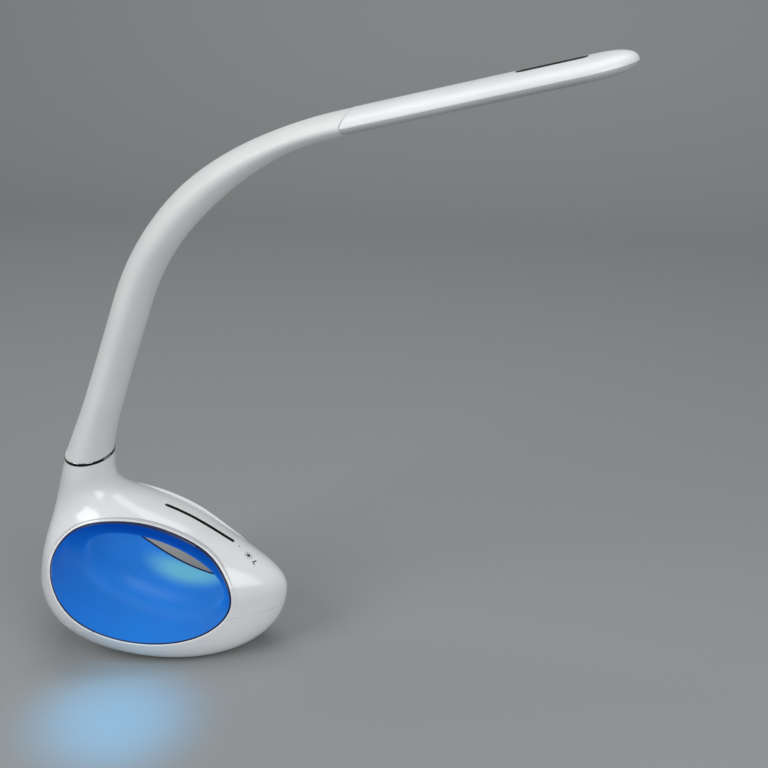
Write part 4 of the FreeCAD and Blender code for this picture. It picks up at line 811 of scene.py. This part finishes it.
def half_thick(place):
    """Half of the arm's thickness."""
    flare = (ROOT_HALF - MID_HALF) * math.exp(-place / FLARE)
    return MID_HALF + flare + (TIP_HALF - MID_HALF) * ease((place - THIN_FROM) / THIN_LENGTH)


def half_wide(place):
    """Half of the arm's width."""
    return ARM_WIDE + (NECK_WIDE - ARM_WIDE) * math.exp(-place / FLARE)


# %% [markdown]
# ## A sleeve in six stretches
# In the real arm the sleeve is one piece that bends anywhere. Here the arm has six hinges, and each stretch of
# the sleeve spans one of them, from the middle of one link to the middle of the next. Neighbours meet in the
# same ring. The last stretch ends in the curved seam of the head.

# %% Build the sleeve
FIRST_JOINT, LINK_LENGTH, BEND_REACH = 34.0, 48.4, 17.0
SEAM_SAG, SEAM_LINE = 5.5, 0.18
SEAM_RADIUS = (ARM_WIDE ** 2 + SEAM_SAG ** 2) / (2 * SEAM_SAG)
SLEEVE_COLUMNS, SLEEVE_ROWS = 88, 22
ROOT_LIP, SEAM_LIP = 2.2, 2.0


def seam_back(y):
    """How far the head's seam lies back at a distance from the middle plane."""
    return SEAM_RADIUS - math.sqrt(SEAM_RADIUS ** 2 - min(abs(y), ARM_WIDE) ** 2)


def arm_point(place, angle, sink=0.0):
    """Point on the sleeve at a place along it and an angle round it."""
    x, z, heading = arm_at(place)
    normal = heading + (math.pi / 2 - heading) * (1 - ease(place / LEVEL_RUN))
    up = (half_thick(place) - sink) * math.sin(angle)
    y = (half_wide(place) - sink) * math.cos(angle)
    return Vector((x - up * math.sin(normal), y, z + up * math.cos(normal)))


def sleeve_place(place, seam=0.0, sink=0.0):
    """Ring round the arm; seam from 0 to 1 draws it back to the head's curved seam."""
    def at(number):
        angle = 2 * math.pi * number / SLEEVE_COLUMNS
        back = seam_back(half_wide(place) * math.cos(angle)) * seam
        return arm_point(place - back, angle, sink)
    return at


joints = [FIRST_JOINT + LINK_LENGTH * number for number in range(6)]
middles = [0.0] + [(a + b) / 2 for a, b in zip(joints, joints[1:])] + [ARM_LENGTH - SEAM_LINE]
for number, joint in enumerate(joints):
    first, last = middles[number], middles[number + 1]
    at_root, at_seam = joint == joints[0], joint == joints[-1]
    sleeve_bm = bmesh.new()
    ring = start_ring(sleeve_bm, SLEEVE_COLUMNS, sleeve_place(first, 0.0, ROOT_LIP if at_root else 0.0))
    for row in range(0 if at_root else 1, SLEEVE_ROWS + 1):
        share = row / SLEEVE_ROWS
        place = sleeve_place(first + (last - first) * share, share ** 2 if at_seam else 0.0)
        ring = grow_ring(sleeve_bm, ring, place)
    if at_seam:
        grow_ring(sleeve_bm, ring, sleeve_place(last, 1.0, SEAM_LIP))
    sleeve = skin(sleeve_bm, "sleeve_skin_%d" % (number + 1), sleeve_white, sharp=60)
    start_x, start_z, _ = arm_at(joint - BEND_REACH)
    stop_x, stop_z, _ = arm_at(joint + BEND_REACH)
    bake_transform(sleeve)
    covered = ["arm_sleeve_%d" % (number + 1)] + (["arm_sleeve_7"] if at_seam else [])
    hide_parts(*covered)

# %% [markdown]
# ## The head's cover and tray
# The head is two thin mouldings. The cover has a crowned section, half an oval, and the tray below it has a flat
# floor with rounded sides. Both end in a rounded tip and begin at the curved seam of the arm. A grid is the
# natural start: one direction runs across the head and the other along it, and a formula places each vertex.

# %% The head's own frame and shape
HEAD_LENGTH, HEAD_WIDE = 172.95, 21.8
CROWN, KEEL, CORNER, EDGE_DROP, HALF_GAP = 8.14, 4.6, 7.0, 0.65, 0.06
TIP_RUN, CROWN_RUN, TRAY_RUN = 34.0, 24.0, 25.0
CROWN_POWER, TRAY_POWER = 2.6, 2.2
TIP_WAY, FLOOR_WAY = 0.62, 0.6
COVER_WALL, TRAY_WALL = 1.4, 1.3
head_x, head_z, head_heading = arm_at(ARM_LENGTH)


def head_point(along, across, above):
    """A point given in the head's own frame."""
    return Vector((head_x + along * math.cos(head_heading) - above * math.sin(head_heading), across,
                   head_z + along * math.sin(head_heading) + above * math.cos(head_heading)))


def head_along(way, across):
    """Place along the head at a way from 0 to 1, with more rows in the tip, and the share of width there."""
    start = -seam_back(across) + SEAM_LINE
    tip = HEAD_LENGTH - TIP_RUN
    if way < TIP_WAY:
        return start + (tip - start) * way / TIP_WAY, 1.0
    turn = math.pi / 2 * (way - TIP_WAY) / (1 - TIP_WAY)
    return tip + TIP_RUN * math.sin(turn), math.cos(turn)


def fall(along, run, power):
    """Share of a height that is left near the tip."""
    gone = min(max((along - (HEAD_LENGTH - run)) / run, 0.0), 1.0)
    return (1 - gone ** power) ** (1 / power)


def cover_place(across, along):
    """A grid place on the cover."""
    lean = across * math.pi / 2
    place, share = head_along((along + 1) / 2, HEAD_WIDE * math.sin(lean))
    rise = CROWN * math.cos(lean) * fall(place, CROWN_RUN, CROWN_POWER)
    return head_point(place, HEAD_WIDE * share * math.sin(lean), -EDGE_DROP + HALF_GAP + rise)


def tray_place(across, along):
    """A grid place on the tray."""
    bend = min(max((abs(across) - FLOOR_WAY) / (1 - FLOOR_WAY), 0.0), 1.0) * math.pi / 2
    flat = (HEAD_WIDE - CORNER) * min(abs(across) / FLOOR_WAY, 1.0)
    side = math.copysign(flat + CORNER * math.sin(bend), across)
    place, share = head_along((along + 1) / 2, side)
    drop = KEEL * math.cos(bend) * fall(place, TRAY_RUN, TRAY_POWER)
    return head_point(place, side * share, -EDGE_DROP - HALF_GAP - drop)


# %% Build the cover
cover_skin = skin(shaped_grid(56, 110, cover_place), "head_cover_skin", head_white, sharp=70)
thicken(cover_skin, COVER_WALL, 0.25)
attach(cover_skin, "head")
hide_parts("head_top_cover")

# %% [markdown]
# ## A window in the tray
# The tray has a long rectangular window for the diffuser. Four bisects cut the grid along the window's sides,
# and the faces between them are deleted, which leaves a clean straight edge for the wall's thickness.

# %% Build the tray
DIFFUSER_START, DIFFUSER_STOP, DIFFUSER_WIDE = 14.0, 154.0, 13.0


def head_cut(bm, origin, normal):
    """Cuts a skin along a plane given in the head's frame."""
    direction = head_point(*normal) - head_point(0, 0, 0)
    bmesh.ops.bisect_plane(bm, geom=all_of(bm), dist=CUT_REACH, plane_co=head_point(*origin),
                           plane_no=direction)


tray_bm = shaped_grid(70, 96, tray_place)
for along in (DIFFUSER_START, DIFFUSER_STOP):
    head_cut(tray_bm, (along, 0, 0), (1, 0, 0))
for across in (-DIFFUSER_WIDE, DIFFUSER_WIDE):
    head_cut(tray_bm, (0, across, 0), (0, 1, 0))
to_head = Matrix.Rotation(head_heading, 4, "Y") @ Matrix.Translation((-head_x, 0, -head_z))
inside = []
for face in tray_bm.faces:
    centre = to_head @ face.calc_center_median()
    if abs(centre.y) < DIFFUSER_WIDE and DIFFUSER_START < centre.x < DIFFUSER_STOP:
        inside.append(face)
bmesh.ops.delete(tray_bm, geom=inside, context="FACES")
# The tray's grey is partly painted shade.
tray_skin = skin(tray_bm, "head_tray_skin", tray_grey_and_shade, sharp=70)
thicken(tray_skin, TRAY_WALL, 0.2)
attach(tray_skin, "head")
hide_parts("head_tray")

# %% [markdown]
# ## Strips and marks
# A black strip on the crest dims the lamp by touch, and another on the head covers a sensor. Both are inlays
# that follow the surface, so each is a narrow grid laid on it, a hair above it, with rounded ends. Small generic
# grey marks beside the strip stand for brighter and darker.

# %% Build the strips and marks
STRIP_REAR, STRIP_FRONT, STRIP_HALF = 18.4, 68.1, 1.6
SLOT_START, SLOT_LENGTH, SLOT_HALF = 101.0, 44.0, 4.4
PROUD, CREST_PROUD = 0.05, 0.06
STRIP_THICK, MARK_THICK = 0.5, 0.04


def capsule_half(along, length, half):
    """Half width of a strip with round ends at a place along it."""
    end = min(along, length - along)
    return half if end >= half else math.sqrt(half ** 2 - (half - end) ** 2)


def crest_strip_place(across, along):
    """A grid place on the touch strip."""
    run = STRIP_FRONT - STRIP_REAR
    place = (along + 1) / 2 * run
    x, y = STRIP_REAR + place, across * capsule_half(place, run, STRIP_HALF)
    return Vector((x, y, hull_top(x, y) + CREST_PROUD))


def sensor_place(across, along):
    """A grid place on the head's sensor strip."""
    place = (along + 1) / 2 * SLOT_LENGTH
    y = across * capsule_half(place, SLOT_LENGTH, SLOT_HALF)
    crown = CROWN * math.sqrt(1 - (y / HEAD_WIDE) ** 2)
    return head_point(SLOT_START + place, y, crown - EDGE_DROP + HALF_GAP + PROUD)


touch_skin = thicken(skin(shaped_grid(4, 64, crest_strip_place), "touch_strip_skin", strip_black), STRIP_THICK)
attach(touch_skin, "base")
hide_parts("touch_strip")
sensor_skin = thicken(skin(shaped_grid(12, 56, sensor_place), "sensor_strip_skin", strip_black), STRIP_THICK)
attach(sensor_skin, "head")
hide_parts("head_sensor_strip")


def mark(name, patches):
    """A thin printed mark: flat patches, laid on the crest."""
    bm = bmesh.new()
    for x, y, long, wide, turn in patches:
        place = Matrix.Translation((x, y, 0)) @ Matrix.Rotation(turn, 4, "Z")
        made = bmesh.ops.create_grid(bm, x_segments=3, y_segments=2, size=0.5,
                                     matrix=place @ Matrix.Diagonal((long, wide, 1, 1)))
        for vert in made["verts"]:
            vert.co.z = hull_top(vert.co.x, vert.co.y) + PROUD
    piece = thicken(skin(bm, name, mark_grey), MARK_THICK)
    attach(piece, "base")


def blot(x, y, size):
    """Two patches, one turned by an eighth, that make a blunt dot."""
    return [(x, y, size, size, 0.0), (x, y, size, size, math.pi / 4)]


SUN_X, SUN_Y, TICK_X, TICK_Y, DOT_X, DOT_Y = 79.3, -5.0, 84.0, -7.5, 72.0, -1.5
SUN_RAYS, RAY_REACH, RAY_LONG, RAY_WIDE = 8, 2.3, 0.9, 0.5
rays = [(SUN_X + RAY_REACH * math.cos(a), SUN_Y + RAY_REACH * math.sin(a), RAY_LONG, RAY_WIDE, a)
        for a in (2 * math.pi * i / SUN_RAYS for i in range(SUN_RAYS))]
mark("mark_brighter", rays + blot(SUN_X, SUN_Y, 2.1))
mark("mark_darker", [(TICK_X + 0.3, TICK_Y + 0.9, 2.6, 0.8, math.radians(60)),
                     (TICK_X - 0.3, TICK_Y - 0.9, 2.4, 0.8, math.radians(-35))])
mark("mark_dot", blot(DOT_X, DOT_Y, 0.9))

# %% [markdown]
# ## Finishes for the parts inside
# The frame's own solids stay for everything that hides in the base, the arm and the head. A frosted diffuser
# shows under the head, so it gets a soft white with a faint glow; the rest gets plain metals, boards and rubbers.

# %% Give the frame's solids their finishes
def frosted():
    """Frosted diffuser with a faint glow."""
    material, tree, shader = new_material("frosted_diffuser")
    colour = two_tone(tree, noise(tree, 25.0), (0.66, 0.67, 0.68), (0.72, 0.73, 0.74))
    fill(tree, shader, {"Base Color": colour, "Emission Color": colour, "Emission Strength": 0.15,
                        "Roughness": spread(tree, noise(tree, 900.0), 0.45, 0.6)})
    return material


diffuser_frost = frosted()
STRETCHES = range(1, 8)
FINISHES = [
    (plain_steel, ["arm_socket", "socket_nut", "touch_screws", "board_screws", "ballast_plate", "ballast_screws",
                   "shell_screws", "core_clamp", "head_screws"] + ["gooseneck_core_%d" % i for i in STRETCHES]),
    (lead_rubber, ["base_lead"] + ["lamp_lead_%d" % i for i in STRETCHES]),
    (board_green, ["glow_led_strip", "touch_board", "main_board", "head_led_board"]),
    (led_yellow, ["glow_leds", "head_leds"]),
    (part_black, ["board_components", "power_jack"]),
    (foot_rubber, ["rubber_feet"]),
    (head_white, ["head_reflector"]),
    (diffuser_frost, ["head_diffuser"]),
]
for material, nodes in FINISHES:
    for node in nodes:
        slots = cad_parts[node].data.materials
        slots.clear()
        slots.append(material)
print("finished", sum(len(nodes) for _, nodes in FINISHES), "solids")

# %% [markdown]
# ## A plain stage
# A grey floor runs up into a backdrop of the same grey, so nothing distracts from the lamp. It is one strip that
# is extruded along a line with a rounded corner.

# %% Build the stage
FLOOR_GREY = (0.31, 0.32, 0.32)
STAGE_HALF, STAGE_FRONT, STAGE_BACK, STAGE_HEIGHT = 3.0, -2.5, 1.6, 2.6
CORNER_ROUND, CORNER_STEPS = 0.5, 12
stage_bm = bmesh.new()
edge = [stage_bm.edges.new([stage_bm.verts.new((x, STAGE_FRONT, 0)) for x in (-STAGE_HALF, STAGE_HALF)])]
profile = [(STAGE_BACK - CORNER_ROUND * (1 - math.sin(a)), CORNER_ROUND * (1 - math.cos(a)))
           for a in (math.pi / 2 * i / CORNER_STEPS for i in range(CORNER_STEPS + 1))]
for y, z in profile + [(STAGE_BACK, STAGE_HEIGHT)]:
    fresh, edge = extrude(stage_bm, edge)
    for vert in fresh:
        vert.co.y, vert.co.z = y, z
stage_mesh = bpy.data.meshes.new("stage")
stage_bm.to_mesh(stage_mesh)
stage_bm.free()
stage_mesh.shade_smooth()
stage_material, stage_tree, stage_shader = new_material("stage_grey")
fill(stage_tree, stage_shader, {"Base Color": (*FLOOR_GREY, 1), "Roughness": 0.55})
stage_mesh.materials.append(stage_material)
stage = bpy.data.objects.new("stage", stage_mesh)
bpy.context.scene.collection.objects.link(stage)

# %% [markdown]
# ## Soft studio light and the camera
# Large area lamps give the glossy shell long, soft highlights: one from the upper left, one nearly as strong
# from the right, and a weaker one from above and behind for the edges. A small blue spot lamp in front of the
# window stands for the glow that the tunnel throws on the floor. The camera looks down a little on the lamp,
# from its right front.

# %% Light and camera
def hang(light, place, target):
    """Puts a lamp in its place and turns it to a target."""
    lamp = bpy.data.objects.new(light.name, light)
    lamp.location = place
    lamp.rotation_euler = (Vector(target) - Vector(place)).to_track_quat("-Z", "Y").to_euler()
    bpy.context.scene.collection.objects.link(lamp)


def area_light(name, place, size, power):
    """A soft rectangular lamp that looks at the lamp's middle."""
    light = bpy.data.lights.new(name, "AREA")
    light.shape = "RECTANGLE"
    light.size, light.size_y = size
    light.energy = power
    hang(light, place, LAMP_MIDDLE)


LAMP_MIDDLE = (0.08, 0.0, 0.2)
area_light("key_lamp", (-1.0, -1.1, 1.3), (1.0, 1.0), 14)
area_light("fill_lamp", (1.2, -1.1, 1.0), (1.0, 1.4), 13)
area_light("top_lamp", (0.1, 0.4, 1.7), (1.4, 0.9), 8)

GLOW_PLACE, GLOW_TARGET = (0.012, -0.105, 0.1), (0.012, -0.108, 0.0)
glow_light = bpy.data.lights.new("floor_glow", "SPOT")
glow_light.energy = 0.5
glow_light.color = (0.05, 0.52, 1.0)
glow_light.spot_size = math.radians(80)
glow_light.spot_blend = 1.0
glow_light.shadow_soft_size = 0.012
hang(glow_light, GLOW_PLACE, GLOW_TARGET)

SKY, SKY_STRENGTH = (0.80, 0.82, 0.85), 0.38
world = bpy.data.worlds.new("studio")
world.use_nodes = True
fill(world.node_tree, world.node_tree.nodes["Background"], {"Color": (*SKY, 1), "Strength": SKY_STRENGTH})
bpy.context.scene.world = world

CAMERA_PLACE = Vector((314.15, -787.80, 535.06)) * MM
CAMERA_TURN, CAMERA_PITCH = math.radians(10.0), math.radians(22.3)
CAMERA_LENS, CAMERA_SENSOR = 61.73, 36.0
camera_data = bpy.data.cameras.new("camera")
camera_data.lens = CAMERA_LENS
camera_data.sensor_width = CAMERA_SENSOR
camera_data.clip_start = 0.01
camera = bpy.data.objects.new("camera", camera_data)
camera.location = CAMERA_PLACE
camera.rotation_euler = (math.pi / 2 - CAMERA_PITCH, 0, CAMERA_TURN)
bpy.context.scene.collection.objects.link(camera)
bpy.context.scene.camera = camera
bpy.context.scene.view_settings.view_transform = "Standard"
